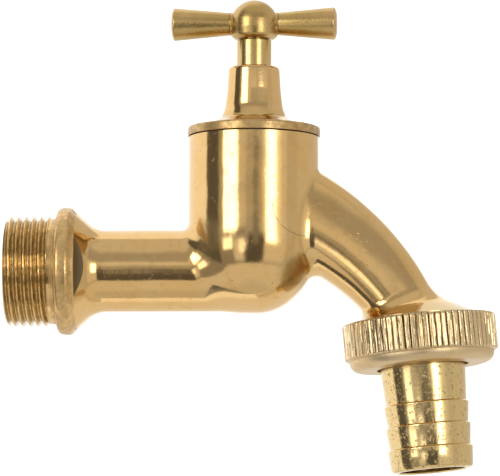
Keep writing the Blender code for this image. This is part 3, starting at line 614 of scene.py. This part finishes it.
def make_spindle(material):
    """A rising spindle: threaded foot, O-ring grooves, ground shank and turned tip."""
    shank = [(0, SPINDLE_THREAD[1] - 1), (SPINDLE_R, SPINDLE_THREAD[1] - 1)]
    for z in O_RING_GROOVE_Z:
        shank += [(SPINDLE_R, z - 0.8), (2.9, z - 0.8), (2.9, z + 0.8), (SPINDLE_R, z + 0.8)]
    shank += [
        (SPINDLE_R, SPINDLE_SHOULDER_Z - 0.15),
        (SPINDLE_R - 0.15, SPINDLE_SHOULDER_Z),
        (SPINDLE_TIP_R, SPINDLE_SHOULDER_Z),
        (SPINDLE_TIP_R, SPINDLE_TOP_Z - 0.5),
        (SPINDLE_TIP_R - 0.5, SPINDLE_TOP_Z),
        (0, SPINDLE_TOP_Z),
    ]
    spindle = trimmed_thread("spindle_rod", SPINDLE_THREAD, 64, BARREL_AXIS, wear=0.03)
    join(spindle, turned("shank", shank, 96, BARREL_AXIS))
    cut(spindle, cylinder("socket", 2.95, 16.5, 23.2, 64, BARREL_AXIS))
    spindle.name = "spindle_rod"
    place(spindle, "spindle_and_handle", ["spindle"], material, 34)


def make_hub(material):
    """The handle's domed hub, bored for the spindle's tip, both arms and the grub screw."""
    start = math.asin(HUB_WALL_R / HUB_R)
    arc = [start * (1 - k / 32) for k in range(32)]
    wall = rounded([
        (HUB_BORE_R, -3.75),
        (4.6, -3.75, 0.3),
        (5.5, -3.05, 0.9),
        (HUB_WALL_R, -1.2, 1.5),
        (HUB_WALL_R, 0),
    ])
    dome = [(HUB_R * math.sin(a), HUB_R * math.cos(a)) for a in arc]
    profile = wall[:-1] + dome + [(0, HUB_R), (0, 1.8), (HUB_BORE_R, 1.8)]
    hub = turned("handle_ball", profile, 128, HUB_AXIS)
    for out in (RIGHT_ARM_AXIS, LEFT_ARM_AXIS):
        boss = rounded([(0, 3.8), (ARM_BOSS_R, 3.8), (ARM_BOSS_R, ARM_FACE_X, 0.12), (0, ARM_FACE_X)], 4)
        join(hub, turned("boss", boss, 96, out))
        cut(hub, cylinder("face", 2.8, ARM_FACE_X, HUB_R + 1, 96, out))
        cut(hub, cylinder("arm_hole", 2.2, 2.4, HUB_R + 1, 48, out))
    cut(hub, cylinder("grub_hole", 1.8, 2, HUB_R + 1, 48, REAR_AXIS))
    hub.name = "handle_ball"
    place(hub, "spindle_and_handle", ["handle_hub"], material, 34)


def make_arm(name, node, axis, material):
    """A tapering turned arm with a softly domed end and a spigot that goes into the hub."""
    profile = rounded([
        (0, 3.8),
        (1.6, 3.8),
        (1.9, 4.1),
        (1.9, 5.9),
        (2.73, 5.9, 0.12),
        (3.95, ARM_END_X - 0.65, 0.5),
        (2.6, ARM_END_X - 0.15, 3.0),
        (0, ARM_END_X),
    ], 6)
    place(turned(name, profile, 96, axis), "spindle_and_handle", [node], material, 34)


def make_grub_screw(material):
    profile = [(0, 3.45), (1.3, 3.45), (1.5, 3.65), (1.5, 5.45), (1.35, 5.6), (0, 5.6)]
    screw = turned("hex_grub_screw", profile, 48, REAR_AXIS)
    cut(screw, cylinder("hex_socket", 0.75, 4.4, 6.6, 6, REAR_AXIS))
    screw.name = "hex_grub_screw"
    place(screw, "spindle_and_handle", ["handle_grub_screw"], material, 34)


def knurl_radius(count, columns, depth, seed=4):
    """A rule for the nut's rim: narrow V grooves between lands streaked by the knurling tool."""
    chance = np.random.RandomState(seed)
    widths = 1 + 0.16 * chance.uniform(-1, 1, count)
    edges = np.concatenate([[0], np.cumsum(widths)]) / widths.sum() * 2 * np.pi
    depths = depth * (0.75 + 0.35 * chance.uniform(0, 1, count))
    halves = 0.26 + 0.16 * chance.uniform(0, 1, count)
    leans = 0.05 * chance.uniform(-1, 1, count)
    streaks = chance.uniform(0, 1, (3, count * columns))

    def radius(r, h, angles):
        if not -8.55 < h < -0.02:
            return np.full(len(angles), float(r))
        index = np.clip(np.searchsorted(edges, angles + 1e-9, side="right") - 1, 0, count - 1)
        share = (angles - edges[index]) / (edges[index + 1] - edges[index])
        away = np.abs(2 * (share - 0.5 + leans[index] * (h + 4.3) / 4.3))
        wall = np.clip(away / halves[index], 0, 1)
        fade = min(1, (-0.02 - h) / 0.5, (h + 8.6) / 0.5)
        drift = 0.5 + 0.5 * math.sin(1.1 * h)
        scrape = streaks[0] * drift + streaks[1] * (1 - drift) + 0.5 * streaks[2]
        return r - (depths[index] * (1 - wall) + 0.05 * scrape) * fade

    return radius


def make_union_nut(material):
    """A ring nut with a straight knurl, a rounded boss below it and a lip under the tail's collar."""
    rim = [(17.55, 0.0), (17.75, -0.02)]
    rim += [(NUT_R - 0.45 * max(0, 1 - (k + 0.5) / 3) ** 2, -0.1 - 0.22 * k) for k in range(3)]
    rim += [(NUT_R, -0.75 - 7.2 * k / 24) for k in range(25)]
    rim += [(NUT_R - 0.45 * (k / 3) ** 2, -8.1 - 0.16 * k) for k in range(4)]
    rim += [(17.6, NUT_KNURL_LOW_H)]
    boss = rounded([
        (17.6, NUT_KNURL_LOW_H),
        (NUT_BOSS_R, NUT_KNURL_LOW_H - 0.05),
        (NUT_BOSS_R, NUT_END_H, 2.4),
        (NUT_HOLE_R, NUT_END_H),
    ], 10)[1:]
    inner = [(NUT_HOLE_R + 0.05, NUT_LIP_H), (NUT_BORE_R, NUT_LIP_H), (NUT_BORE_R, 0.0)]
    rule = knurl_radius(NUT_GROOVES, COLUMNS_PER_GROOVE, NUT_GROOVE_DEPTH)
    columns = NUT_GROOVES * COLUMNS_PER_GROOVE
    nut = turned("knurled_nut", rim + boss + inner, columns, OUTLET_AXIS, rule)
    place(nut, "union_nut", ["union_nut"], material, 28)


def make_hose_tail(material):
    """Collar under the nut's lip, then a tube with three sawtooth barbs."""
    corners = [
        (TAIL_BORE_R, TAIL_COLLAR_TOP_H),
        (TAIL_COLLAR_R, TAIL_COLLAR_TOP_H),
        (TAIL_COLLAR_R, TAIL_COLLAR_END_H),
        (TAIL_R + 0.5, TAIL_COLLAR_END_H),
        (TAIL_R, TAIL_COLLAR_END_H - 0.5),
        (TAIL_R, NUT_END_H - 1.5),
    ]
    for h in TAIL_BARB_H:
        corners += [
            (TAIL_R - 0.5, h + 0.35),
            (TAIL_R - 0.17, h + 0.14),
            (TAIL_R - 0.02, h - 0.02),
            (TAIL_R, h - 0.25),
        ]
    corners += [
        (9.8, TAIL_END_H + 0.8),
        (9.55, TAIL_END_H + 0.3),
        (9.15, TAIL_END_H),
        (TAIL_BORE_R + 0.3, TAIL_END_H),
        (TAIL_BORE_R, TAIL_END_H + 0.3),
    ]
    place(turned("barbed_tail", corners, 192, OUTLET_AXIS), "hose_tail", ["hose_tail"], material, 24)


# ---------------------------------------------------------------- shader graphs


class Graph:
    """Short calls that add nodes to one tree and wire them up."""

    def __init__(self, tree):
        self.tree = tree

    def node(self, kind, inputs=(), **settings):
        node = self.tree.nodes.new(kind)
        for key, value in settings.items():
            setattr(node, key, value)
        for key, value in dict(inputs).items():
            if isinstance(value, bpy.types.NodeSocket):
                self.tree.links.new(value, node.inputs[key])
            else:
                node.inputs[key].default_value = value
        return node

    def math(self, operation, a, b=0.0, c=0.0, clamp=False):
        node = self.node("ShaderNodeMath", {0: a, 1: b, 2: c}, operation=operation, use_clamp=clamp)
        return node.outputs[0]

    def step(self, value, low, high):
        """0 below low and 1 above high, with a smooth change between them."""
        node = self.node(
            "ShaderNodeMapRange", {"Value": value, "From Min": low, "From Max": high},
            interpolation_type="SMOOTHSTEP",
        )
        return node.outputs[0]

    def band(self, value, low, high, soft):
        rise = self.step(value, low - soft, low + soft)
        fall = self.step(value, high - soft, high + soft)
        return self.math("SUBTRACT", rise, fall, clamp=True)

    def mix(self, share, a, b):
        node = self.node("ShaderNodeMix", data_type="RGBA")
        for socket, value in zip((node.inputs[0], node.inputs[6], node.inputs[7]), (share, a, b)):
            if isinstance(value, bpy.types.NodeSocket):
                self.tree.links.new(value, socket)
            else:
                socket.default_value = (*value, 1) if isinstance(value, tuple) else value
        return node.outputs[2]

    def noise(self, vector, scale, detail=3.0, roughness=0.55, distortion=0.0):
        node = self.node("ShaderNodeTexNoise", {
            "Vector": vector, "Scale": scale, "Detail": detail,
            "Roughness": roughness, "Distortion": distortion,
        })
        return node.outputs["Fac"]

    def stretched(self, vector, scale):
        return self.node("ShaderNodeVectorMath", {0: vector, 1: scale}, operation="MULTIPLY").outputs[0]

    def bump(self, height, distance, normal=None, strength=1.0):
        inputs = {"Height": height, "Distance": distance * MM, "Strength": strength}
        if normal is not None:
            inputs["Normal"] = normal
        return self.node("ShaderNodeBump", inputs).outputs[0]

    def radius(self, vector):
        """The distance from the local Z axis."""
        flat = self.stretched(vector, (1, 1, 0))
        return self.node("ShaderNodeVectorMath", {0: flat}, operation="LENGTH").outputs[1]

    def along(self, vector):
        return self.node("ShaderNodeSeparateXYZ", {0: vector}).outputs[2]

    def millimetres(self, axis=None):
        """Object coordinates in millimetres, in the frame of an axis if one is given."""
        coords = self.node("ShaderNodeTexCoord").outputs["Object"]
        scaling = {0: coords, "Scale": 1 / MM}
        scaled = self.node("ShaderNodeVectorMath", scaling, operation="SCALE").outputs[0]
        if axis is None:
            return scaled
        return self.node("ShaderNodeMapping", {
            "Vector": scaled, "Location": axis.to_translation() / MM, "Rotation": axis.to_euler(),
        }, vector_type="TEXTURE").outputs[0]


def new_material(name):
    """An empty metal shader in its own material, as (material, graph, shader)."""
    material = bpy.data.materials.new(name)
    material.use_nodes = True
    shader = material.node_tree.nodes["Principled BSDF"]
    return material, Graph(material.node_tree), shader


def distance_mask(g, centre, inner, outer):
    """1 within the inner distance of a point, 0 past the outer one."""
    away = g.node("ShaderNodeVectorMath", {0: g.millimetres(), 1: centre}, operation="DISTANCE").outputs[1]
    return g.step(away, outer, inner)


def thread_zone(g):
    return g.step(g.along(g.millimetres(INLET_AXIS)), -1.2, -1.9)


def thread_grooves(g):
    """Where dirt sits in the inlet's thread, uneven along it."""
    low = g.step(g.radius(g.millimetres(INLET_AXIS)), 13.0, 12.2)
    uneven = g.step(g.noise(g.millimetres(), 0.9, 4.0, 0.7), 0.30, 0.65)
    amount = g.math("MULTIPLY_ADD", uneven, 0.34, 0.04)
    return g.math("MULTIPLY", g.math("MULTIPLY", low, thread_zone(g)), amount)


def wrench_flats(g):
    x, y, _ = g.node("ShaderNodeSeparateXYZ", {0: g.millimetres()}).outputs
    off = g.math("ABSOLUTE", g.math("SUBTRACT", g.math("ABSOLUTE", y), WRENCH_FLAT_Y))
    return g.math("MULTIPLY", g.math("LESS_THAN", off, 0.03), g.band(x, WRENCH_FLAT_START_X - 0.1, 7.6, 0.1))


def barrel_dark_arc(g):
    """A thin, broken dark curved line painted on the near side of the barrel."""
    x, y, z = g.node("ShaderNodeSeparateXYZ", {0: g.millimetres()}).outputs
    across, up = g.math("SUBTRACT", x, DARK_ARC_CENTRE[0]), g.math("SUBTRACT", z, DARK_ARC_CENTRE[1])
    away = g.math("SQRT", g.math("ADD", g.math("MULTIPLY", across, across), g.math("MULTIPLY", up, up)))
    wavy = g.math("ADD", away, g.math("MULTIPLY_ADD", g.noise(g.millimetres(), 0.8), 0.9, -0.45))
    line = g.band(wavy, DARK_ARC_RADIUS - 0.07, DARK_ARC_RADIUS + 0.07, 0.05)
    part = g.math("MULTIPLY", g.step(across, 0.5, -0.5), g.step(up, 0.5, -0.5))
    broken = g.step(g.noise(g.millimetres(), 0.7, 2.0), 0.40, 0.50)
    line = g.math("MULTIPLY", g.math("MULTIPLY", line, part), broken)
    return g.math("MULTIPLY", line, g.step(y, -3.0, -4.0))


def casting_dirt_and_shade(g):
    flecks = g.step(g.noise(g.millimetres(), 2.4, 4.0, 0.75), 0.35, 0.6)
    # Painted shade: a mottled darker patch at the pipe's joint, standing in for the dark reflection there
    near_joint = distance_mask(g, JOINT_SHADE_CENTRE, 2.5, 5.5)
    joint = g.math("MULTIPLY", near_joint, g.math("MULTIPLY_ADD", flecks, 0.25, 0.12))
    # Dirt in the thread's grooves; the wrench flats' faces painted nearly black as a painted dark reflection
    soil = g.math("MAXIMUM", thread_grooves(g), g.math("MULTIPLY", wrench_flats(g), 0.88))
    cloudy = g.step(g.noise(g.millimetres(), 0.6, 4.0, 0.65), 0.35, 0.65)
    soil = g.math("MAXIMUM", soil, g.math("MULTIPLY", collar_rim(g), g.math("MULTIPLY", cloudy, 0.32)))
    # Painted shade: a slight darkening in the notch under the spout
    soil = g.math("MAXIMUM", soil, g.math("MULTIPLY", distance_mask(g, NOTCH_CENTRE, 2.0, 4.5), 0.10))
    return g.math("MAXIMUM", g.math("MAXIMUM", soil, joint), g.math("MULTIPLY", barrel_dark_arc(g), 0.8))


def casting_hollow_shade(g):
    """The notch, the thread and the flare's foot: painted shade, a greyer and darker tone in these hollows.
    """
    notch = distance_mask(g, NOTCH_CENTRE, 2.5, 6.5)
    flare = g.step(g.along(g.millimetres(OUTLET_AXIS)), 4.0, 1.5)
    flare = g.math("MULTIPLY", flare, g.step(g.along(g.millimetres(INLET_AXIS)), 60, 66))
    return g.math("MAXIMUM", g.math("MAXIMUM", notch, flare), g.math("MULTIPLY", thread_zone(g), 0.7))


# Painted shade: the bonnet's concave foot greyed and darkened
def bonnet_foot(g):
    return g.math("MULTIPLY", g.band(g.along(g.millimetres(BARREL_AXIS)), 34.7, 37.5, 1.0), 0.7)


def flange_rim(g):
    return g.band(g.along(g.millimetres(BARREL_AXIS)), 32.0, 34.7, 0.2)


def flange_stain(g):
    uneven = g.step(g.noise(g.millimetres(), 0.5, 4.0, 0.65), 0.35, 0.65)
    return g.math("MULTIPLY", flange_rim(g), g.math("MULTIPLY_ADD", uneven, 0.35, 0.12))


# Dirt with painted shade: the bottoms of the knurl's grooves, mixed to the dark colour
def knurl_grooves(g):
    local = g.millimetres(OUTLET_AXIS)
    low = g.step(g.radius(local), 18.12, 17.88)
    return g.math("MULTIPLY", low, g.band(g.along(local), -8.5, -0.1, 0.1))


def collar_rim(g):
    return g.band(g.along(g.millimetres(INLET_AXIS)), -1.0, 4.6, 0.4)


def casting_satin(g):
    return g.math("MAXIMUM", collar_rim(g), distance_mask(g, NOTCH_CENTRE, 3.0, 6.0))


def nut_boss(g):
    return g.step(g.along(g.millimetres(OUTLET_AXIS)), -8.5, -8.8)


def brass(
    name, roughness, axis=None, rings=0.0, streaks=0.0, grain=0.3, pits=0.5, stain=0.3, tint=BRASS,
    speckle=0.66, dirt_and_shade_mask=None, dulled=None, shade_in_hollows=None,
):
    """Polished or satin brass: cloudy colour, pits, fine scratches and optional turning marks.

    The last three take the graph and give masks: dirt mixed to a dark colour, with painted shade
    in some grooves, creases and dark reflections; a rougher satin; and painted shade that greys hollows."""
    material, g, shader = new_material(name)
    mm = g.millimetres()
    local = g.millimetres(axis) if axis else mm
    cloud = g.noise(mm, 0.11, 4.0, 0.6, 0.4)
    fine = g.noise(mm, 2.6, 5.0, 0.7)
    spots = g.step(g.noise(mm, 1.35, 4.0, 0.62), speckle, speckle + 0.08)
    stains = g.math("MULTIPLY", g.step(g.noise(mm, 0.23, 5.0, 0.65, 1.2), 0.50, 0.72), stain)
    colour = g.mix(g.step(cloud, 0.35, 0.7), tint, tuple(0.5 * (a + b) for a, b in zip(tint, BRASS_PALE)))
    colour = g.mix(stains, colour, BRASS_DEEP)
    colour = g.mix(g.math("MULTIPLY", spots, 0.55 * pits), colour, TARNISH)
    # Painted shade: hollows greyed and darkened
    if shade_in_hollows:
        colour = g.mix(shade_in_hollows(g), colour, BRASS_HOLLOW_SHADE)

    scratch = g.noise(g.stretched(mm, (0.35, 2.2, 4.5)), 1.0, 6.0, 0.75, 0.3)
    level = g.math("MULTIPLY_ADD", g.step(fine, 0.3, 0.75), 0.5 * roughness, 0.7 * roughness)
    level = g.math("ADD", level, g.math("MULTIPLY", g.step(scratch, 0.55, 0.8), 0.35 * roughness))
    level = g.math("ADD", level, g.math("MULTIPLY", stains, 0.25 * roughness))
    if dulled:
        mask = dulled(g)
        level = g.math("ADD", level, g.math("MULTIPLY", mask, g.math("MULTIPLY_ADD", fine, 0.16, 0.10)))
    # Dirt, and painted shade where the mask gives it, mixed to a dark colour
    if dirt_and_shade_mask:
        mask = dirt_and_shade_mask(g)
        colour = g.mix(mask, colour, DIRT_AND_SHADE_COLOUR)
        level = g.math("ADD", level, g.math("MULTIPLY", mask, 0.3))
        metal = g.math("SUBTRACT", 1.0, g.math("MULTIPLY", mask, 0.55))
        g.tree.links.new(metal, shader.inputs["Metallic"])
    else:
        shader.inputs["Metallic"].default_value = 1.0
    g.tree.links.new(colour, shader.inputs["Base Color"])
    g.tree.links.new(level, shader.inputs["Roughness"])

    normal = g.bump(g.noise(mm, 0.30, 2.0, 0.5), 0.030 * grain)
    normal = g.bump(g.noise(mm, 3.2, 3.0, 0.6), 0.006 * grain, normal)
    normal = g.bump(scratch, 0.004 * grain, normal)
    if pits:
        normal = g.bump(g.math("SUBTRACT", 1.0, spots), 0.03 * pits, normal)
    if rings:
        turning = g.noise(g.stretched(local, (0.05, 0.05, 7.0)), 1.0, 4.0, 0.7)
        normal = g.bump(turning, 0.012 * rings, normal)
    if streaks:
        lengthwise = g.noise(g.stretched(local, (5.0, 5.0, 0.12)), 1.0, 4.0, 0.7)
        normal = g.bump(lengthwise, 0.010 * streaks, normal)
    g.tree.links.new(normal, shader.inputs["Normal"])
    return material


def plain_finish(name, low, high, roughness, metallic, scale, depth):
    """Rubber, fibre or steel: two shades mixed by a fine noise, with its bump and roughness."""
    material, g, shader = new_material(name)
    mm = g.millimetres()
    speckle = g.noise(mm, scale, 5.0, 0.65)
    g.tree.links.new(g.mix(g.step(speckle, 0.35, 0.65), low, high), shader.inputs["Base Color"])
    shader.inputs["Metallic"].default_value = metallic
    level = g.math("MULTIPLY_ADD", speckle, 0.35 * roughness, 0.8 * roughness)
    g.tree.links.new(level, shader.inputs["Roughness"])
    g.tree.links.new(g.bump(speckle, depth), shader.inputs["Normal"])
    return material


# ---------------------------------------------------------------- studio


def make_studio():
    """A pale light tent: white behind, warm grey in front, two strip softboxes and dark gaps.

    Bearings are from the camera's side of the tap, and heights above the horizon, in degrees."""
    world = bpy.data.worlds.new("studio")
    world.use_nodes = True
    bpy.context.scene.world = world
    g = Graph(world.node_tree)
    background = world.node_tree.nodes["Background"]
    direction = g.node("ShaderNodeTexCoord").outputs["Generated"]
    split = g.node("ShaderNodeSeparateXYZ", {0: direction})
    x, y, z = split.outputs
    bearing = g.math("ARCTAN2", x, g.math("MULTIPLY", y, -1.0))
    bearing = g.math("SUBTRACT", g.math("DEGREES", bearing), CAMERA_YAW)
    height = g.math("DEGREES", g.math("ARCSINE", z))

    def grey(level, warmth=0.0):
        return (level * (1 + warmth), level, level * (1 - 2 * warmth))

    def panel(colour, span, heights, soft, level, warmth=0.0):
        """A flat panel between two bearings and two heights, over what was painted before it."""
        across = g.band(bearing, *span, soft[0])
        mask = g.math("MULTIPLY", across, g.band(height, *heights, soft[1]))
        return g.mix(mask, colour, grey(level, warmth))

    # The room in front: grey, brighter overhead and darker below, with a glow above the camera
    colour = g.mix(g.step(height, 40, 56), grey(0.47), grey(0.72, 0.02))
    colour = panel(colour, (-30, 12), (9, 20), (4, 3.5), 0.80, 0.02)
    colour = g.mix(g.step(height, 1, -12), colour, grey(0.36))
    # A dark gap on the left, pale walls and a glow on the right, the dark shape of the camera
    colour = panel(colour, (-92, -65), (-60, 55), (2, 8), 0.13)
    colour = panel(colour, (14, 62), (-30, 20), (4, 6), 0.80, 0.02)
    colour = panel(colour, (62, 88), (-70, 90), (4, 3), 0.64, 0.02)
    colour = panel(colour, (18, 49), (-8, 14), (4, 3), 1.2, 0.03)
    colour = panel(colour, (-10, 19), (-28, 0), (3, 3), 0.13)
    colour = panel(colour, (-1, 8), (-10, 8.5), (3, 0.7), 0.26)
    # The glow beside the left strip, the dark table under it and the bright things that lie on it
    colour = panel(colour, (-30, -14), (2, 26), (3, 4), 0.76, 0.03)
    colour = panel(colour, (-62, -14), (-40, 4.6), (3, 1.4), 0.33)
    colour = panel(colour, (-44, -31), (0, 4.6), (3, 1.4), 0.95)
    colour = panel(colour, (-66, -54), (-48, -31), (3, 3), 0.30)
    colour = panel(colour, (-36, -16), (-28, -3), (4, 4), 0.85)
    colour = panel(colour, (-26, -14), (-17, -5), (3, 2.5), 1.8)
    colour = panel(colour, (-57, -38), (-12, -1.2), (2.5, 1.2), 2.4)
    # A dark foot below the camera and the pale floor around it
    foot = g.math("MULTIPLY", g.step(height, -8, -19), g.band(bearing, -16, 12, 4))
    colour = g.mix(foot, colour, grey(0.12))
    low_front = g.math("MULTIPLY", g.step(height, -31, -33), g.step(bearing, -66, -62))
    pale_floor = g.mix(g.step(height, -55, -70), grey(0.79, 0.02), grey(0.68, 0.02))
    colour = g.mix(low_front, colour, pale_floor)
    # The two strip lights
    colour = panel(colour, (-55, -29), (4, 27), (2.5, 2.5), 4.6)
    colour = panel(colour, (23, 40), (-7, 14), (2.5, 2.0), 4.6)
    # The white backdrop, with a duller part on the right and lower down
    shifted = g.math("SUBTRACT", y, g.math("MULTIPLY", g.step(height, 25, 60), 0.17))
    colour = g.mix(g.step(shifted, -0.045, -0.025), colour, grey(BACKDROP_LEVEL))
    colour = panel(colour, (82, 158), (-90, 70), (2, 8), 0.70, 0.03)
    lower_back = g.math("MULTIPLY", g.step(height, -12, -24), g.step(y, 0.1, 0.3))
    colour = g.mix(lower_back, colour, grey(0.93, 0.01))
    # What the camera sees past the tap is the plain backdrop
    seen_directly = g.node("ShaderNodeLightPath").outputs["Is Camera Ray"]
    colour = g.mix(seen_directly, colour, grey(BACKDROP_LEVEL))
    world.node_tree.links.new(colour, background.inputs["Color"])
    background.inputs["Strength"].default_value = 1.0


def make_floor():
    half = FLOOR_SIZE / 2
    corners = [(x * half, y * half, FLOOR_Z) for x, y in ((-1, -1), (1, -1), (1, 1), (-1, 1))]
    floor = new_mesh_object("floor", corners, [(0, 1, 2, 3)])
    material, g, shader = new_material("pale_floor")
    tone = g.noise(g.millimetres(), 0.004, 3.0)
    g.tree.links.new(g.mix(tone, (0.86, 0.86, 0.85), (0.90, 0.90, 0.89)), shader.inputs["Base Color"])
    shader.inputs["Roughness"].default_value = 0.9
    floor.data.materials.append(material)
    floor.visible_glossy = False


def make_camera():
    yaw, rise, roll = (math.radians(a) for a in (CAMERA_YAW, CAMERA_ELEVATION, CAMERA_ROLL))
    back = Vector((math.sin(yaw) * math.cos(rise), -math.cos(yaw) * math.cos(rise), math.sin(rise)))
    right = Vector((math.cos(yaw), math.sin(yaw), 0))
    up = back.cross(right)
    right, up = right * math.cos(roll) + up * math.sin(roll), up * math.cos(roll) - right * math.sin(roll)
    spot = Vector(CAMERA_TARGET) + back * CAMERA_DISTANCE + right * CAMERA_NUDGE[0] + up * CAMERA_NUDGE[1]
    data = bpy.data.cameras.new("camera")
    data.lens = CAMERA_LENS
    data.sensor_width = 36
    data.clip_start = 0.01
    data.clip_end = 100
    camera = bpy.data.objects.new("camera", data)
    bpy.context.scene.collection.objects.link(camera)
    matrix = Matrix((right, up, back)).transposed().to_4x4()
    matrix.translation = spot * MM
    camera.matrix_world = matrix
    bpy.context.scene.camera = camera


# ---------------------------------------------------------------- assembly

bpy.context.scene.view_settings.view_transform = "Standard"
make_camera()
make_studio()
make_floor()

make_casting(brass(
    "cast_brass", 0.12, INLET_AXIS, grain=0.8, pits=0.9, stain=0.35, speckle=0.65,
    dirt_and_shade_mask=casting_dirt_and_shade, dulled=casting_satin, shade_in_hollows=casting_hollow_shade,
))
make_bonnet(brass(
    "turned_brass", 0.10, BARREL_AXIS, rings=0.5, grain=0.6, pits=0.3,
    dirt_and_shade_mask=flange_stain, dulled=flange_rim, shade_in_hollows=bonnet_foot,
))
make_bonnet_gasket(plain_finish("fibre", (0.05, 0.02, 0.012), (0.12, 0.05, 0.03), 0.8, 0.0, 6.0, 0.03))
make_spindle(brass("ground_brass", 0.24, BARREL_AXIS, rings=0.8, grain=0.3, pits=0.1, tint=SPINDLE_BRASS))
make_hub(brass("satin_ball", 0.33, BARREL_AXIS, rings=0.8, grain=0.4, pits=0.1, tint=SATIN_BRASS))
for label, node_name, arm_axis in (
    ("handle_arm_r", "handle_arm_right", RIGHT_ARM_AXIS),
    ("handle_arm_l", "handle_arm_left", LEFT_ARM_AXIS),
):
    finish = brass(label + "_satin", 0.34, arm_axis, rings=1.0, grain=0.4, pits=0.1, tint=SATIN_BRASS)
    make_arm(label, node_name, arm_axis, finish)
make_grub_screw(plain_finish("steel", (0.35, 0.35, 0.36), (0.6, 0.6, 0.6), 0.3, 1.0, 3.0, 0.01))
make_union_nut(brass(
    "knurled_brass", 0.26, OUTLET_AXIS, streaks=2.2, grain=1.0, pits=0.6, tint=NUT_BRASS,
    dirt_and_shade_mask=knurl_grooves, dulled=nut_boss,
))
make_hose_tail(brass(
    "tail_brass", 0.10, OUTLET_AXIS, rings=0.5, grain=1.2, pits=1.0, tint=TAIL_BRASS, speckle=0.57,
))

rubber = plain_finish("rubber", (0.012, 0.012, 0.013), (0.035, 0.035, 0.036), 0.55, 0.0, 5.0, 0.02)
inner_brass = brass("inner_brass", 0.25, BARREL_AXIS, rings=1.0, grain=0.3, pits=0.2)
spring_steel = plain_finish("spring_steel", (0.35, 0.35, 0.36), (0.6, 0.6, 0.6), 0.3, 1.0, 3.0, 0.01)
for finish, node_names in (
    (rubber, ("spindle_o_ring_lower", "spindle_o_ring_upper", "seat_washer", "union_gasket")),
    (inner_brass, ("valve_disc_holder", "seat_washer_screw")),
    (spring_steel, ("disc_holder_clip",)),
):
    for node_name in node_names:
        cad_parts[node_name].material_slots[0].material = finish
